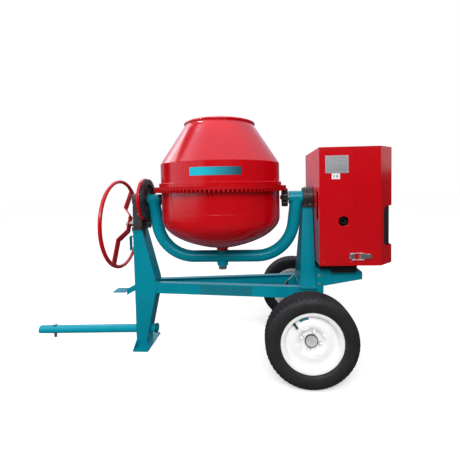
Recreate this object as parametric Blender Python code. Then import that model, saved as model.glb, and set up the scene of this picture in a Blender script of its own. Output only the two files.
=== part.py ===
# Towable tilting drum concrete mixer, built as separate sub-parts.
# Units in this file are millimetres; meshes are written in metres.
# X runs from the tow bar to the engine hood, Y across, Z up, floor at Z = 0.
import bpy
import bmesh
import math
from mathutils import Matrix, Vector

for old in list(bpy.data.objects):
    bpy.data.objects.remove(old, do_unlink=True)

MM = 0.001
GAP = 0.3

# Drum
DRUM_X = 141.0
TILT_Z = 1100.0
BOWL_OUT = [(139, 756), (237, 787), (305, 817), (355, 847), (390, 878), (415, 908), (427, 938), (431, 968)]
BOWL_BOTTOM_Z = 742.0
FLANGE_Z = 1190.0
SEAM_Z = 1202.0
FLANGE_TOP_Z = 1215.0
FLANGE_R = 446.0
WALL_R = 431.0
CONE_Z = 1341.0
MOUTH_R = 253.0
NECK_Z = 1625.0
TOP_Z = 1650.0
SKIN = 4.0

# Drum drive
RING_TEETH = 108
PINION_TEETH = 14
RING_MEAN_R = 460.0
RING_MODULE = 2 * RING_MEAN_R / RING_TEETH
PINION_PITCH_R = RING_MODULE * PINION_TEETH / 2
RING_IN_R = 433.5
RING_OUT_R = 480.0
RING_TOP_Z = 1189.6
RING_ADD = 7.8
RING_DED = 10.2
PINION_X0, PINION_X1 = 590.0, 632.0
PINION_OUT_R = 67.0
SHAFT_R = 15.0

# Yoke
YOKE_R = 44.45
YOKE_WALL = 5.0
BEND_R = 278.0
BEND_Z = 945.0
BEND_XL, BEND_XR = -70.0, 397.0
ARM_LEAN = math.radians(7.3)
STUB_L = (-422.0, -319.0)
STUB_R = (642.0, 740.0)
BOSS_Z = 599.0

# Tilt drive
TILT_MODULE = 5.0
TILT_TEETH = 60
TILT_PINION_TEETH = 12
TILT_ADD = 4.0
TILT_DED = 5.2
HAND_Z = TILT_Z - TILT_MODULE * (TILT_TEETH + TILT_PINION_TEETH) / 2
DISC_X0, DISC_X1 = -447.0, -424.0
DISC_R = 160.0
RIM_X = -628.0
RIM_R = 320.0
RIM_TUBE = 13.0
SPOKE_LEAN = math.radians(28)

# Frame
POST_Y = 65.0
PLATE = 5.0
BEAM_Z0, BEAM_Z1 = 405.0, 485.0
BEAM_Y0, BEAM_Y1 = 66.0, 176.0
BEAM_X0, BEAM_X1 = -354.0, 743.0
WHEEL_X = 711.7
WHEEL_Y = 475.0
TYRE_R = 273.0
WHEEL_SIDES = 26
REAR_X1 = 806.0

# Engine and hood
HOOD_X0, SEAM_X, HOOD_X1 = 810.0, 1040.5, 1306.0
HOOD_Y = 270.0
HOOD_Z0, HOOD_Z1 = 657.0, 1427.0
SHEET = 3.0
CRANK_Z = 800.0
BELT_X = 850.0
BIG_R, SMALL_R = 144.0, 41.0

# Tow bar
TOW_R = 30.15
TOW_Z = 111.3
TOW_SLOPE = math.radians(1.05)


def material(name, rgb, rough, metal=0.0):
    mat = bpy.data.materials.get(name)
    if mat is None:
        mat = bpy.data.materials.new(name)
        mat.use_nodes = True
        bsdf = mat.node_tree.nodes["Principled BSDF"]
        bsdf.inputs["Base Color"].default_value = (rgb[0], rgb[1], rgb[2], 1.0)
        bsdf.inputs["Roughness"].default_value = rough
        bsdf.inputs["Metallic"].default_value = metal
    return mat


def build(name, verts, faces):
    """Make one object from millimetre vertices, with faces turned outward."""
    mesh = bpy.data.meshes.new(name)
    mesh.from_pydata([Vector(v) * MM for v in verts], [], faces)
    bm = bmesh.new()
    bm.from_mesh(mesh)
    bmesh.ops.remove_doubles(bm, verts=bm.verts, dist=1e-6)
    bmesh.ops.recalc_face_normals(bm, faces=bm.faces)
    bm.to_mesh(mesh)
    bm.free()
    ob = bpy.data.objects.new(name, mesh)
    bpy.context.scene.collection.objects.link(ob)
    return ob


def paint(ob, key):
    looks = {
        "red": ((0.55, 0.0, 0.01), 0.25, 0.0),
        "teal": ((0.0, 0.23, 0.32), 0.3, 0.0),
        "black": ((0.02, 0.02, 0.022), 0.5, 0.2),
        "steel": ((0.5, 0.5, 0.5), 0.35, 1.0),
        "zinc": ((0.6, 0.6, 0.62), 0.4, 1.0),
        "white": ((0.75, 0.76, 0.77), 0.4, 0.0),
        "rubber": ((0.025, 0.025, 0.027), 0.85, 0.0),
        "grey": ((0.35, 0.36, 0.37), 0.5, 0.3),
    }
    rgb, rough, metal = looks[key]
    ob.data.materials.clear()
    ob.data.materials.append(material(ob.name + "_" + key, rgb, rough, metal))
    return ob


def box(name, x0, x1, y0, y1, z0, z1):
    v = [(x, y, z) for x in (x0, x1) for y in (y0, y1) for z in (z0, z1)]
    f = [(0, 1, 3, 2), (4, 6, 7, 5), (0, 4, 5, 1), (2, 3, 7, 6), (0, 2, 6, 4), (1, 5, 7, 3)]
    return build(name, v, f)


def place(axis, u, v, w):
    """Point from two in-plane values and one along the axis."""
    if axis == "X":
        return (w, u, v)
    if axis == "Y":
        return (u, w, v)
    return (u, v, w)


def prism(name, outline, axis, lo, hi):
    n = len(outline)
    verts = [place(axis, u, v, lo) for u, v in outline] + [place(axis, u, v, hi) for u, v in outline]
    faces = [tuple(range(n)), tuple(range(n, 2 * n))]
    faces += [(i, (i + 1) % n, n + (i + 1) % n, n + i) for i in range(n)]
    return build(name, verts, faces)


def ring_prism(name, outer, inner, axis, lo, hi):
    """Prism between two outlines with the same number of points."""
    n = len(outer)
    verts = []
    for w in (lo, hi):
        verts += [place(axis, u, v, w) for u, v in outer]
        verts += [place(axis, u, v, w) for u, v in inner]
    faces = []
    for i in range(n):
        j = (i + 1) % n
        faces.append((i, j, n + j, n + i))
        faces.append((2 * n + i, 3 * n + i, 3 * n + j, 2 * n + j))
        faces.append((i, 2 * n + i, 2 * n + j, j))
        faces.append((n + i, n + j, 3 * n + j, 3 * n + i))
    return build(name, verts, faces)


def circle(cu, cv, r, n, phase=0.0):
    step = 2 * math.pi / n
    return [(cu + r * math.cos(i * step + phase), cv + r * math.sin(i * step + phase)) for i in range(n)]


def rod(name, axis, cu, cv, r, lo, hi, n=24):
    return prism(name, circle(cu, cv, r, n), axis, lo, hi)


def lathe(name, profile, axis, cu, cv, n=48):
    """Turn a closed outline of (radius, height) about an axis."""
    verts, faces = [], []
    m = len(profile)
    for i in range(n):
        a = 2 * math.pi * i / n
        for r, h in profile:
            verts.append(place(axis, cu + r * math.cos(a), cv + r * math.sin(a), h))
    for i in range(n):
        k = (i + 1) % n
        for j in range(m):
            j2 = (j + 1) % m
            if profile[j][0] == 0 and profile[j2][0] == 0:
                continue
            quad = [i * m + j, k * m + j, k * m + j2, i * m + j2]
            if profile[j][0] == 0:
                quad = [i * m + j, k * m + j2, i * m + j2]
            elif profile[j2][0] == 0:
                quad = [i * m + j, k * m + j, i * m + j2]
            faces.append(tuple(quad))
    return build(name, verts, faces)


def sweep(name, path, r, sides, closed=False):
    """Round bar along a path, with flat ends when open."""
    pts = [Vector(p) for p in path]
    n = len(pts)
    verts, faces = [], []
    normal = None
    for i, p in enumerate(pts):
        a = pts[(i - 1) % n] if (closed or i > 0) else pts[i]
        b = pts[(i + 1) % n] if (closed or i < n - 1) else pts[i]
        t = (b - a).normalized()
        if normal is None:
            ref = Vector((0, 1, 0)) if abs(t.y) < 0.9 else Vector((0, 0, 1))
            normal = (ref - t * ref.dot(t)).normalized()
        else:
            normal = (normal - t * normal.dot(t)).normalized()
        side = t.cross(normal)
        for k in range(sides):
            ang = 2 * math.pi * k / sides
            verts.append(tuple(p + (normal * math.cos(ang) + side * math.sin(ang)) * r))
    last = n if closed else n - 1
    for i in range(last):
        j = (i + 1) % n
        for k in range(sides):
            k2 = (k + 1) % sides
            faces.append((i * sides + k, i * sides + k2, j * sides + k2, j * sides + k))
    if not closed:
        faces.append(tuple(range(sides)))
        faces.append(tuple(range((n - 1) * sides, n * sides)))
    return build(name, verts, faces)


def combine(base, tools, how):
    """Boolean the tools into the base, then drop the tools."""
    for tool in tools:
        mod = base.modifiers.new("b", "BOOLEAN")
        mod.operation = how
        mod.solver = "EXACT"
        mod.object = tool
        bpy.context.view_layer.update()
        graph = bpy.context.evaluated_depsgraph_get()
        mesh = bpy.data.meshes.new_from_object(base.evaluated_get(graph))
        base.modifiers.clear()
        base.data = mesh
        bpy.data.objects.remove(tool, do_unlink=True)
    bm = bmesh.new()
    bm.from_mesh(base.data)
    bmesh.ops.remove_doubles(bm, verts=bm.verts, dist=2e-6)
    bmesh.ops.dissolve_degenerate(bm, dist=2e-6, edges=bm.edges)
    bm.to_mesh(base.data)
    bm.free()
    return base


def cut(base, *tools):
    return combine(base, tools, "DIFFERENCE")


def join(base, *tools):
    return combine(base, tools, "UNION")


def turn(ob, matrix):
    ob.data.transform(matrix)
    ob.data.update()
    return ob


def involute(a):
    return math.tan(a) - a


def spur_outline(teeth, pitch_r, add, ded, thick, pressure, phase):
    """Outline of a spur gear; one tooth is centred on the phase angle."""
    base_r = pitch_r * math.cos(pressure)
    root_r = pitch_r - ded
    tip_r = pitch_r + add
    half = thick / (2 * pitch_r)
    low = max(root_r, base_r)
    steps = (0.0, 0.5, 1.0) if 12 < teeth < 30 else (0.0, 1.0)
    radii = [low + (tip_r - low) * f for f in steps]
    flank = []
    for r in radii:
        a = math.acos(min(1.0, base_r / r))
        flank.append((r, half + involute(pressure) - involute(a)))
    if base_r > root_r + 0.5:
        flank.insert(0, (root_r, flank[0][1]))
    points = []
    for i in range(teeth):
        mid = phase + 2 * math.pi * i / teeth
        points += [(r, mid - w) for r, w in flank]
        points += [(r, mid + w) for r, w in reversed(flank)]
    return [(r * math.cos(a), r * math.sin(a)) for r, a in points]


# ---- frame ----------------------------------------------------------------

def tow_axis_tool(name, r, x0, x1, n=32):
    tool = rod(name, "X", 0, TOW_Z, r, x0, x1, n)
    pivot = Matrix.Translation(Vector((-475, 0, TOW_Z)) * MM)
    return turn(tool, pivot @ Matrix.Rotation(-TOW_SLOPE, 4, "Y") @ pivot.inverted())


def front_post():
    outer = [(-514, 10.4), (-436, 10.4), (-436, 51), (-355, 420), (-357, 510), (-449, 876), (-514, 876)]
    inner = [(-509, 0), (-441, 0), (-441, 51.5), (-360, 420), (-362.1, 510), (-457.8, 892), (-509, 892)]
    ob = prism("front_post", outer, "Y", -POST_Y, POST_Y)
    core = prism("core", inner, "Y", -POST_Y + PLATE, POST_Y - PLATE)
    ob = cut(ob, core, tow_axis_tool("hole", TOW_R + 1.0, -560, -330),
             box("slot", -530, -500, -13, 13, 400, 486),
             rod("rodhole", "Z", -440, -28, 9, 700, 880, 20))
    return paint(ob, "teal")


def front_foot():
    ob = box("front_foot", -514, -403, -142, 142, 0, 10)
    for s in (-1, 1):
        tri = [(s * 65.6, 9), (s * 142, 9), (s * 142, 10.5), (s * 72, 50), (s * 65.6, 50)]
        ob = join(ob, prism("gusset", tri, "X", -514, -508))
    return paint(ob, "teal")


def side_beam(name, s):
    slope = (BEAM_Y1 - BEAM_Y0) / (BEAM_X1 - BEAM_X0)
    sect = [(0, BEAM_Z0), (40, BEAM_Z0), (40, BEAM_Z0 + 5), (5, BEAM_Z0 + 5),
            (5, BEAM_Z1 - 5), (40, BEAM_Z1 - 5), (40, BEAM_Z1), (0, BEAM_Z1)]
    verts = []
    for end in (0, 1):
        for inward, z in sect:
            x = BEAM_X0 if end == 0 else 612 + (z - BEAM_Z0) / (BEAM_Z1 - BEAM_Z0) * 82
            verts.append((x, s * (BEAM_Y0 + slope * (x - BEAM_X0) - inward), z))
    n = len(sect)
    faces = [tuple(range(n)), tuple(range(n, 2 * n))]
    faces += [(i, (i + 1) % n, n + (i + 1) % n, n + i) for i in range(n)]
    return paint(build(name, verts, faces), "teal")


def rear_cross_member():
    ob = box("rear_cross_member", 696.5, REAR_X1, -150, 150, 400, 478)
    ob = cut(ob, box("hollow", 702, REAR_X1 - 5.5, -144.5, 144.5, 390, 472))
    ob = join(ob, box("lip", 696.5, REAR_X1, -178, 178, 473, 481.4))
    return paint(ob, "teal")


def loft4(name, levels):
    """Four-sided tapering solid from (z, x0, x1, half_y) levels."""
    verts, faces = [], []
    for z, x0, x1, hy in levels:
        verts += [(x0, -hy, z), (x1, -hy, z), (x1, hy, z), (x0, hy, z)]
    top = 4 * (len(levels) - 1)
    faces = [(0, 1, 2, 3), (top, top + 1, top + 2, top + 3)]
    for k in range(len(levels) - 1):
        for i in range(4):
            j = (i + 1) % 4
            faces.append((4 * k + i, 4 * k + j, 4 * k + 4 + j, 4 * k + 4 + i))
    return build(name, verts, faces)


def rear_post():
    ob = loft4("rear_post", [(482, 697, REAR_X1, 148), (1030, 736, REAR_X1, 44)])
    core = loft4("core", [(470, 701.1, REAR_X1 - 5, 145.2), (1060, 743, REAR_X1 - 5, 33.4)])
    return paint(cut(ob, core), "teal")


def axle():
    ob = box("axle", WHEEL_X - 30, WHEEL_X + 30, -386, 386, 243, 303)
    leg = [(681.7, 300), (741.7, 300), (800, 430), (800, 472), (690, 472), (646, 428), (646, 392),
           (681.7, 340)]
    for s in (-1, 1):
        lo, hi = sorted((s * 150.6, s * 156.6))
        ob = join(ob, prism("leg", leg, "Y", lo, hi))
        lo, hi = sorted((s * 380, s * 490))
        ob = join(ob, rod("spindle", "Y", WHEEL_X, TYRE_R, 15, lo, hi, 24))
    return paint(ob, "teal")


def engine_bracket():
    side = [(807, 405), (854, 405), (854, 486), (1121, 533), (1121, 583), (1085, 612), (807, 612)]
    ob = box("engine_bracket", 807, 813, -156, 156, 405, 612)
    for s in (-1, 1):
        lo, hi = sorted((s * 150, s * 156))
        ob = join(ob, prism("side", side, "Y", lo, hi))
    return paint(ob, "teal")


def engine_base():
    ob = box("engine_base", 824, 1072, -196, 196, 614, 650)
    ob = cut(ob, box("tray", 834, 1062, -186, 186, 626, 660))
    for s in (-1, 1):
        lo, hi = sorted((s * 156.6, s * 190))
        ob = join(ob, box("rail", 905, 1069, lo, hi, 590, 616))
        lo, hi = sorted((s * 100, s * 130))
        ob = join(ob, box("rest", 830, 1066, lo, hi, 620, 649.6))
    return paint(ob, "black")


def bearing_outline(base_y, base_z, r):
    """Rounded-top upright in the YZ plane around the tilt axis."""
    pts = [(-base_y, base_z), (base_y, base_z)]
    for i in range(13):
        a = -0.08 + (math.pi + 0.16) * i / 12
        pts.append((r * math.cos(a), TILT_Z + r * math.sin(a)))
    return pts


def front_bearing_bracket():
    ob = prism("front_bearing_bracket", bearing_outline(60, 880, 50), "X", -513, -450)
    ob = join(ob, box("base", -519, -449, -70, 70, 876.4, 900))
    ob = join(ob, rod("boss", "X", 0, TILT_Z, 46, -523, -512, 28))
    ob = join(ob, rod("low_boss", "X", 0, HAND_Z, 24, -523, -512, 24))
    ob = cut(ob, rod("bore", "X", 0, TILT_Z, 25.35, -540, -430, 24),
             rod("low_bore", "X", 0, HAND_Z, 12.3, -540, -430, 16))
    return paint(ob, "black")


def rear_bearing_block():
    ob = prism("rear_bearing_block", bearing_outline(56, 1040, 70), "X", 741, 800)
    ob = join(ob, box("base", 738, 807, -60, 60, 1030.4, 1048))
    ob = join(ob, rod("step", "X", 0, TILT_Z, 75, 770, 807, 32))
    ob = cut(ob, rod("bore", "X", 0, TILT_Z, 30.4, 730, 820, 24),
             box("seat", 700, 840, -100, 100, 980, 1030.4))
    return paint(ob, "black")


def lock_guide():
    shape = [(-514.4, 718), (-563, 718), (-563, 826), (-514.4, 826), (-514.4, 820),
             (-557, 820), (-557, 724), (-514.4, 724)]
    return paint(prism("lock_guide", shape, "Y", -18, 18), "teal")


def hinge_knuckle(z0, z1):
    """Barrel and leaf of the hood hinge between two heights."""
    return rod("knuckle", "Z", SEAM_X, HOOD_Y + 8, 7, z0, z1, 12)


def hood_front_shell():
    ob = box("hood_front_shell", HOOD_X0, SEAM_X - 0.5, -HOOD_Y, HOOD_Y, HOOD_Z0, HOOD_Z1)
    inner = box("inner", HOOD_X0 + SHEET, SEAM_X + 20, -HOOD_Y + SHEET, HOOD_Y - SHEET, 640, HOOD_Z1 - SHEET)
    ob = cut(ob, inner)
    for z0, z1 in ((700, 860), (1221, 1385)):
        leaf = box("leaf", SEAM_X - 30, SEAM_X - 0.5, HOOD_Y - 1, HOOD_Y + 4, z0, z1)
        ob = join(ob, leaf, hinge_knuckle(z0, z1))
    ob = cut(ob, rod("pinbore", "Z", SEAM_X, HOOD_Y + 8, 3.15, 600, 1500, 12))
    slot = [(-230, 951), (-172, 951), (-172, 1144), (-230, 1144)]
    ob = cut(ob, rod("shaft_hole", "X", 0, TILT_Z, 42, 800, 818, 20),
             prism("slot", slot, "X", 800, 818),
             rod("round_hole", "Y", 963, 949, 33, -280, -260, 24))
    return paint(ob, "red")


def hood_rear_shell():
    out = [(SEAM_X + 0.5, -HOOD_Y), (1200, -HOOD_Y), (HOOD_X1, -177), (HOOD_X1, 177), (1200, HOOD_Y),
           (SEAM_X + 0.5, HOOD_Y)]
    c = SHEET
    inn = [(SEAM_X - 20, -HOOD_Y + c), (1198.9, -HOOD_Y + c), (HOOD_X1 - c, -175.6), (HOOD_X1 - c, 175.6),
           (1198.9, HOOD_Y - c), (SEAM_X - 20, HOOD_Y - c)]
    ob = prism("hood_rear_shell", out, "Z", HOOD_Z0, HOOD_Z1)
    ob = cut(ob, prism("inner", inn, "Z", 640, HOOD_Z1 - SHEET))
    leaf = box("leaf", SEAM_X + 0.5, SEAM_X + 30, HOOD_Y - 1, HOOD_Y + 4, 860.6, 1220.4)
    ob = join(ob, leaf, hinge_knuckle(860.6, 1220.4))
    ob = cut(ob, rod("pinbore", "Z", SEAM_X, HOOD_Y + 8, 3.15, 600, 1500, 12))
    r = 34.0
    win = [(1400, 778), (1400, 1041)]
    for cz, a0 in ((1041 - r, 90), (778 + r, 180)):
        for i in range(6):
            a = math.radians(a0 + 18 * i)
            win.append((1229 + r + r * math.cos(a), cz + r * math.sin(a)))
    ob = cut(ob, prism("window", win, "Y", -300, 300))
    return paint(ob, "red")


def hood_hinge_pin():
    return paint(rod("hood_hinge_pin", "Z", SEAM_X, HOOD_Y + 8, 3.0, 697, 1388, 12), "zinc")


def vent_guard():
    path = [(1190, 266.5), (1287, 181), (1287, -181), (1190, -266.5)]
    back = [(1185.5, -264.5), (1283.5, -179.3), (1283.5, 179.3), (1185.5, 264.5)]
    return paint(prism("vent_guard", path + back, "Z", 745, 1075), "black")


def data_plate():
    return paint(box("data_plate", 849, 996, -HOOD_Y - 1.5, -HOOD_Y - GAP, 1259, 1372), "zinc")


def latch_keeper():
    ob = box("latch_keeper", 1000, 1034, -HOOD_Y - 3.3, -HOOD_Y - GAP, 700, 738)
    ob = join(ob, box("bump", 1014, 1022, -HOOD_Y - 8, -HOOD_Y - 3, 708, 730))
    return paint(ob, "zinc")


def latch_base():
    ob = box("latch_base", 1060, 1132, -HOOD_Y - 3.3, -HOOD_Y - GAP, 702, 736)
    for z in (702, 732.6):
        ob = join(ob, box("ear", 1064, 1080, -HOOD_Y - 13, -HOOD_Y - 3, z, z + 3.4))
    ob = join(ob, rod("pin", "Z", 1072, -HOOD_Y - 9, 2.2, 703, 735, 12))
    return paint(ob, "zinc")


def latch_lever():
    ob = box("latch_lever", 1070, 1128, -HOOD_Y - 13.5, -HOOD_Y - 6, 706, 732)
    ob = join(ob, rod("barrel", "Z", 1072, -HOOD_Y - 9, 5.2, 706, 732, 12))
    ob = join(ob, rod("tip", "Y", 1128, 719, 13, -HOOD_Y - 13.5, -HOOD_Y - 8, 16))
    ob = cut(ob, rod("bore", "Z", 1072, -HOOD_Y - 9, 2.35, 690, 750, 12),
             rod("loop_bore", "Z", 1092, -HOOD_Y - 10, 2.5, 690, 750, 10))
    return paint(ob, "zinc")


def latch_loop():
    x0, x1, z0, z1, r = 1008.0, 1092.0, 697.5, 740.5, 8.0
    pts = []
    corners = ((x1 - r, z1 - r, 0), (x0 + r, z1 - r, 90), (x0 + r, z0 + r, 180), (x1 - r, z0 + r, 270))
    for cx, cz, a0 in corners:
        for i in range(4):
            a = math.radians(a0 + 30 * i)
            pts.append((cx + r * math.cos(a), -HOOD_Y - 10, cz + r * math.sin(a)))
    return paint(sweep("latch_loop", pts, 2.0, 8, True), "zinc")


def engine_block():
    ob = box("engine_block", 905, 1100, -130, 120, 650.3, 800)
    ob = join(ob, prism("crown", [(-130, 799), (120, 799), (85, 880), (-100, 880)], "X", 905, 1100))
    ob = join(ob, box("barrel", 930, 1075, -90, 75, 879, 1010))
    ob = join(ob, rod("nose", "X", 0, CRANK_Z, 40, 884, 906, 24))
    ob = cut(ob, rod("crank_bore", "X", 0, CRANK_Z, 13, 870, 960, 16))
    return paint(ob, "grey")


def muffler():
    ob = box("muffler", 915, 1015, -222, -136, 900, 1000)
    ob = join(ob, rod("pipe", "Y", 963, 949, 19, -262, -221, 20))
    ob = cut(ob, rod("pipe_bore", "Y", 963, 949, 15, -290, -200, 20))
    return paint(ob, "steel")


def fuel_tank():
    ob = box("fuel_tank", 915, 1150, -150, 190, 1030, 1180)
    ob = join(ob, rod("filler", "Z", 1090, 60, 32, 1179, 1204, 24))
    return paint(ob, "black")


def recoil_starter():
    ob = rod("recoil_starter", "X", 0, CRANK_Z, 105, 1100.4, 1150, 28)
    ob = join(ob, rod("dome", "X", 0, CRANK_Z, 60, 1149, 1165, 20))
    return paint(ob, "black")


def engine_shaft():
    return paint(rod("engine_shaft", "X", 0, CRANK_Z, 12, BELT_X - 24, 955, 16), "steel")


def groove_profile(x, r_out, r_floor, r_bore, half):
    """Closed outline of a single-groove pulley about the X axis."""
    return [(r_bore, x - half - 4), (r_bore, x + half + 4), (r_floor - 8, x + half + 4),
            (r_out, x + half), (r_out, x + half - 3), (r_floor, x + half - 5), (r_floor, x - half + 5),
            (r_out, x - half + 3), (r_out, x - half), (r_floor - 8, x - half - 4)]


def drive_pulley():
    prof = groove_profile(BELT_X, BIG_R + 6, BIG_R - 6, SHAFT_R + GAP, 12.5)
    return paint(lathe("drive_pulley", prof, "X", 0, TILT_Z, 28), "black")


def engine_pulley():
    prof = groove_profile(BELT_X, SMALL_R + 6, SMALL_R - 6, 12.3, 12.5)
    return paint(lathe("engine_pulley", prof, "X", 0, CRANK_Z, 16), "steel")


def belt_outline(dr, n=16):
    """Outline of the belt run at an offset from its mid line."""
    gap = TILT_Z - CRANK_Z
    lean = math.asin((BIG_R - SMALL_R) / gap)
    pts = []
    for i in range(n):
        a = -lean + (math.pi + 2 * lean) * i / (n - 1)
        pts.append(((BIG_R + dr) * math.cos(a), TILT_Z + (BIG_R + dr) * math.sin(a)))
    for i in range(n):
        a = math.pi + lean + (math.pi - 2 * lean) * i / (n - 1)
        pts.append(((SMALL_R + dr) * math.cos(a), CRANK_Z + (SMALL_R + dr) * math.sin(a)))
    return pts


def drive_belt():
    ob = ring_prism("drive_belt", belt_outline(5), belt_outline(-3.9), "X", BELT_X - 5, BELT_X + 5)
    return paint(ob, "rubber")


# ---- yoke -----------------------------------------------------------------

def yoke_path(top_trim):
    """Centre line of the bent yoke tube in the XZ plane."""
    c, s = math.cos(ARM_LEAN), math.sin(ARM_LEAN)
    top = TILT_Z - top_trim
    start_z = BEND_Z - BEND_R * s
    pts = []
    for k in range(1):
        z = top
        pts.append((BEND_XL - BEND_R * c - (z - start_z) * s / c, 0, z))
    for k in range(7):
        a = math.pi + ARM_LEAN + (math.pi / 2 - ARM_LEAN) * k / 6
        pts.append((BEND_XL + BEND_R * math.cos(a), 0, BEND_Z + BEND_R * math.sin(a)))
    pts.append((DRUM_X, 0, BEND_Z - BEND_R))
    for k in range(7):
        a = 1.5 * math.pi + (math.pi / 2 - ARM_LEAN) * k / 6
        pts.append((BEND_XR + BEND_R * math.cos(a), 0, BEND_Z + BEND_R * math.sin(a)))
    for k in range(1):
        z = top
        pts.append((BEND_XR + BEND_R * c + (z - start_z) * s / c, 0, z))
    return pts


def yoke_tube():
    ob = sweep("yoke_tube", yoke_path(14), YOKE_R, 12)
    ob = join(ob, rod("stub_l", "X", 0, TILT_Z, 40, STUB_L[0], STUB_L[1], 20),
              rod("stub_r", "X", 0, TILT_Z, 47, STUB_R[0], STUB_R[1], 20),
              rod("trunnion_r", "X", 0, TILT_Z, 30, 735, 808.5, 24),
              rod("boss", "Z", DRUM_X, 0, 40, BOSS_Z, 713, 20))
    ob = cut(ob, sweep("core", yoke_path(62), YOKE_R - YOKE_WALL - 1, 8),
             rod("left_bore", "X", 0, TILT_Z, 25.4, -440, -300, 24),
             rod("right_bore", "X", 0, TILT_Z, SHAFT_R + 0.3, 600, 830, 20),
             rod("foot_bore", "Z", DRUM_X, 0, 22.4, 580, 730, 24))
    return paint(ob, "teal")


def left_trunnion():
    prof = [(0, -521), (25, -521), (25, -318.6), (38, -318.6), (38, -304), (0, -304)]
    return paint(lathe("left_trunnion", prof, "X", 0, TILT_Z, 24), "black")


def tilt_gear():
    thick = math.pi * TILT_MODULE / 2 - 0.7
    pitch_r = TILT_MODULE * TILT_TEETH / 2
    out = spur_outline(TILT_TEETH, pitch_r, TILT_ADD, TILT_DED, thick, math.radians(22), -math.pi / 2)
    out = [(u, v + TILT_Z) for u, v in out]
    ob = prism("tilt_gear", out, "X", -423.6, -404)
    ob = cut(ob, rod("stub_seat", "X", 0, TILT_Z, 40.3, -440, -390, 20),
             rod("web", "X", 0, TILT_Z, 118, -419, -390, 24))
    return paint(ob, "black")


def brake_disc():
    ob = rod("brake_disc", "X", 0, TILT_Z, DISC_R, DISC_X0, DISC_X1, 40)
    ob = cut(ob, rod("bore", "X", 0, TILT_Z, 25.4, -460, -420, 24))
    return paint(ob, "red")


# ---- drum -----------------------------------------------------------------

def offset_in(profile, t):
    """Shift an open (radius, height) line inward by t along its normals."""
    out = []
    for i, (r, z) in enumerate(profile):
        a = profile[max(0, i - 1)]
        b = profile[min(len(profile) - 1, i + 1)]
        dr, dz = b[0] - a[0], b[1] - a[1]
        ln = math.hypot(dr, dz)
        out.append((max(0.0, r - t * dz / ln), z + t * dr / ln))
    return out


def drum_bowl():
    outer = [(23, BOWL_BOTTOM_Z), (60, 743)] + BOWL_OUT + [(WALL_R, FLANGE_Z)]
    inner = offset_in(outer, SKIN)
    inner = [(23, BOWL_BOTTOM_Z + SKIN)] + inner[2:-1:2] + [inner[-2], (WALL_R - SKIN, SEAM_Z)]
    ring = outer + [(FLANGE_R, FLANGE_Z), (FLANGE_R, SEAM_Z)]
    return paint(lathe("drum_bowl", ring + inner[::-1], "Z", DRUM_X, 0, 36), "red")


def drum_cone():
    outer = [(FLANGE_R, SEAM_Z + 0.4), (FLANGE_R, FLANGE_TOP_Z), (WALL_R + 1, FLANGE_TOP_Z),
             (WALL_R + 1, CONE_Z)]
    outer += [(428, 1356), (275, 1594), (257, 1616), (MOUTH_R, NECK_Z)]
    bead = []
    for i in range(4):
        a = math.radians(-50 + 77 * i)
        bead.append((MOUTH_R - 3 + 9 * math.cos(a), TOP_Z - 9 + 9 * math.sin(a)))
    inner = [(MOUTH_R - SKIN - 1, NECK_Z), (253, 1614), (271.5, 1591), (424.6, 1353),
             (WALL_R - SKIN, CONE_Z - 1),
             (WALL_R - SKIN, SEAM_Z + 0.4)]
    return paint(lathe("drum_cone", outer + bead + inner, "Z", DRUM_X, 0, 36), "red")


def ring_gear():
    """Crown gear under the drum flange, teeth pointing down."""
    pitch_z = TILT_Z + PINION_PITCH_R
    tip_z, root_z = pitch_z - RING_ADD, pitch_z + RING_DED
    pitch = 2 * math.pi / RING_TEETH
    tip_w, root_w = 0.13, 0.315
    verts, faces = [], []
    for i in range(RING_TEETH):
        start = (i + 0.5 - root_w) * pitch
        marks = ((0.5 - root_w, root_z), (0.5 - tip_w, tip_z), (0.5 + tip_w, tip_z), (0.5 + root_w, root_z))
        for r in (RING_IN_R, RING_OUT_R):
            verts.append((DRUM_X + r * math.cos(start), r * math.sin(start), RING_TOP_Z))
            for f, z in marks:
                a = (i + f) * pitch
                verts.append((DRUM_X + r * math.cos(a), r * math.sin(a), z))
    for i in range(RING_TEETH):
        p, q = 10 * i, 10 * ((i + 1) % RING_TEETH)
        faces.append((p, q, q + 5, p + 5))
        faces.append((p, p + 1, p + 2, p + 3, p + 4, q + 1, q))
        faces.append((p + 5, q + 5, q + 6, p + 9, p + 8, p + 7, p + 6))
        for k in range(1, 4):
            faces.append((p + k, p + k + 1, p + k + 6, p + k + 5))
        faces.append((p + 4, q + 1, q + 6, p + 9))
    return paint(build("ring_gear", verts, faces), "red")


def mixing_blade(name, angle):
    shape = [(411, 975), (411, 1185), (330, 1212), (262, 1130), (236, 960), (262, 868), (318, 868),
             (370, 912)]
    verts = []
    for side in (60, 66):
        for r, z in shape:
            verts.append((r, side + (z - 1000) * 0.10, z))
    n = len(shape)
    faces = [tuple(range(n)), tuple(range(n, 2 * n))]
    faces += [(i, (i + 1) % n, n + (i + 1) % n, n + i) for i in range(n)]
    ob = build(name, verts, faces)
    place_m = Matrix.Translation(Vector((DRUM_X, 0, 0)) * MM) @ Matrix.Rotation(angle, 4, "Z")
    return paint(turn(ob, place_m), "red")


def drum_shaft():
    prof = [(0, 568), (20.5, 568), (22, 570), (22, 716), (38, 716), (46, 741.7), (22.4, 741.7),
            (22.4, 752), (0, 752)]
    return paint(lathe("drum_shaft", prof, "Z", DRUM_X, 0, 24), "red")


def drum_nut():
    hexa = circle(DRUM_X, 0, 54 / math.sqrt(3), 6, math.radians(20))
    ob = prism("drum_nut", hexa, "Z", 570, 598)
    return paint(cut(ob, rod("bore", "Z", DRUM_X, 0, 22.3, 560, 610, 24)), "zinc")


# ---- drum drive -------------------------------------------------------------

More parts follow.
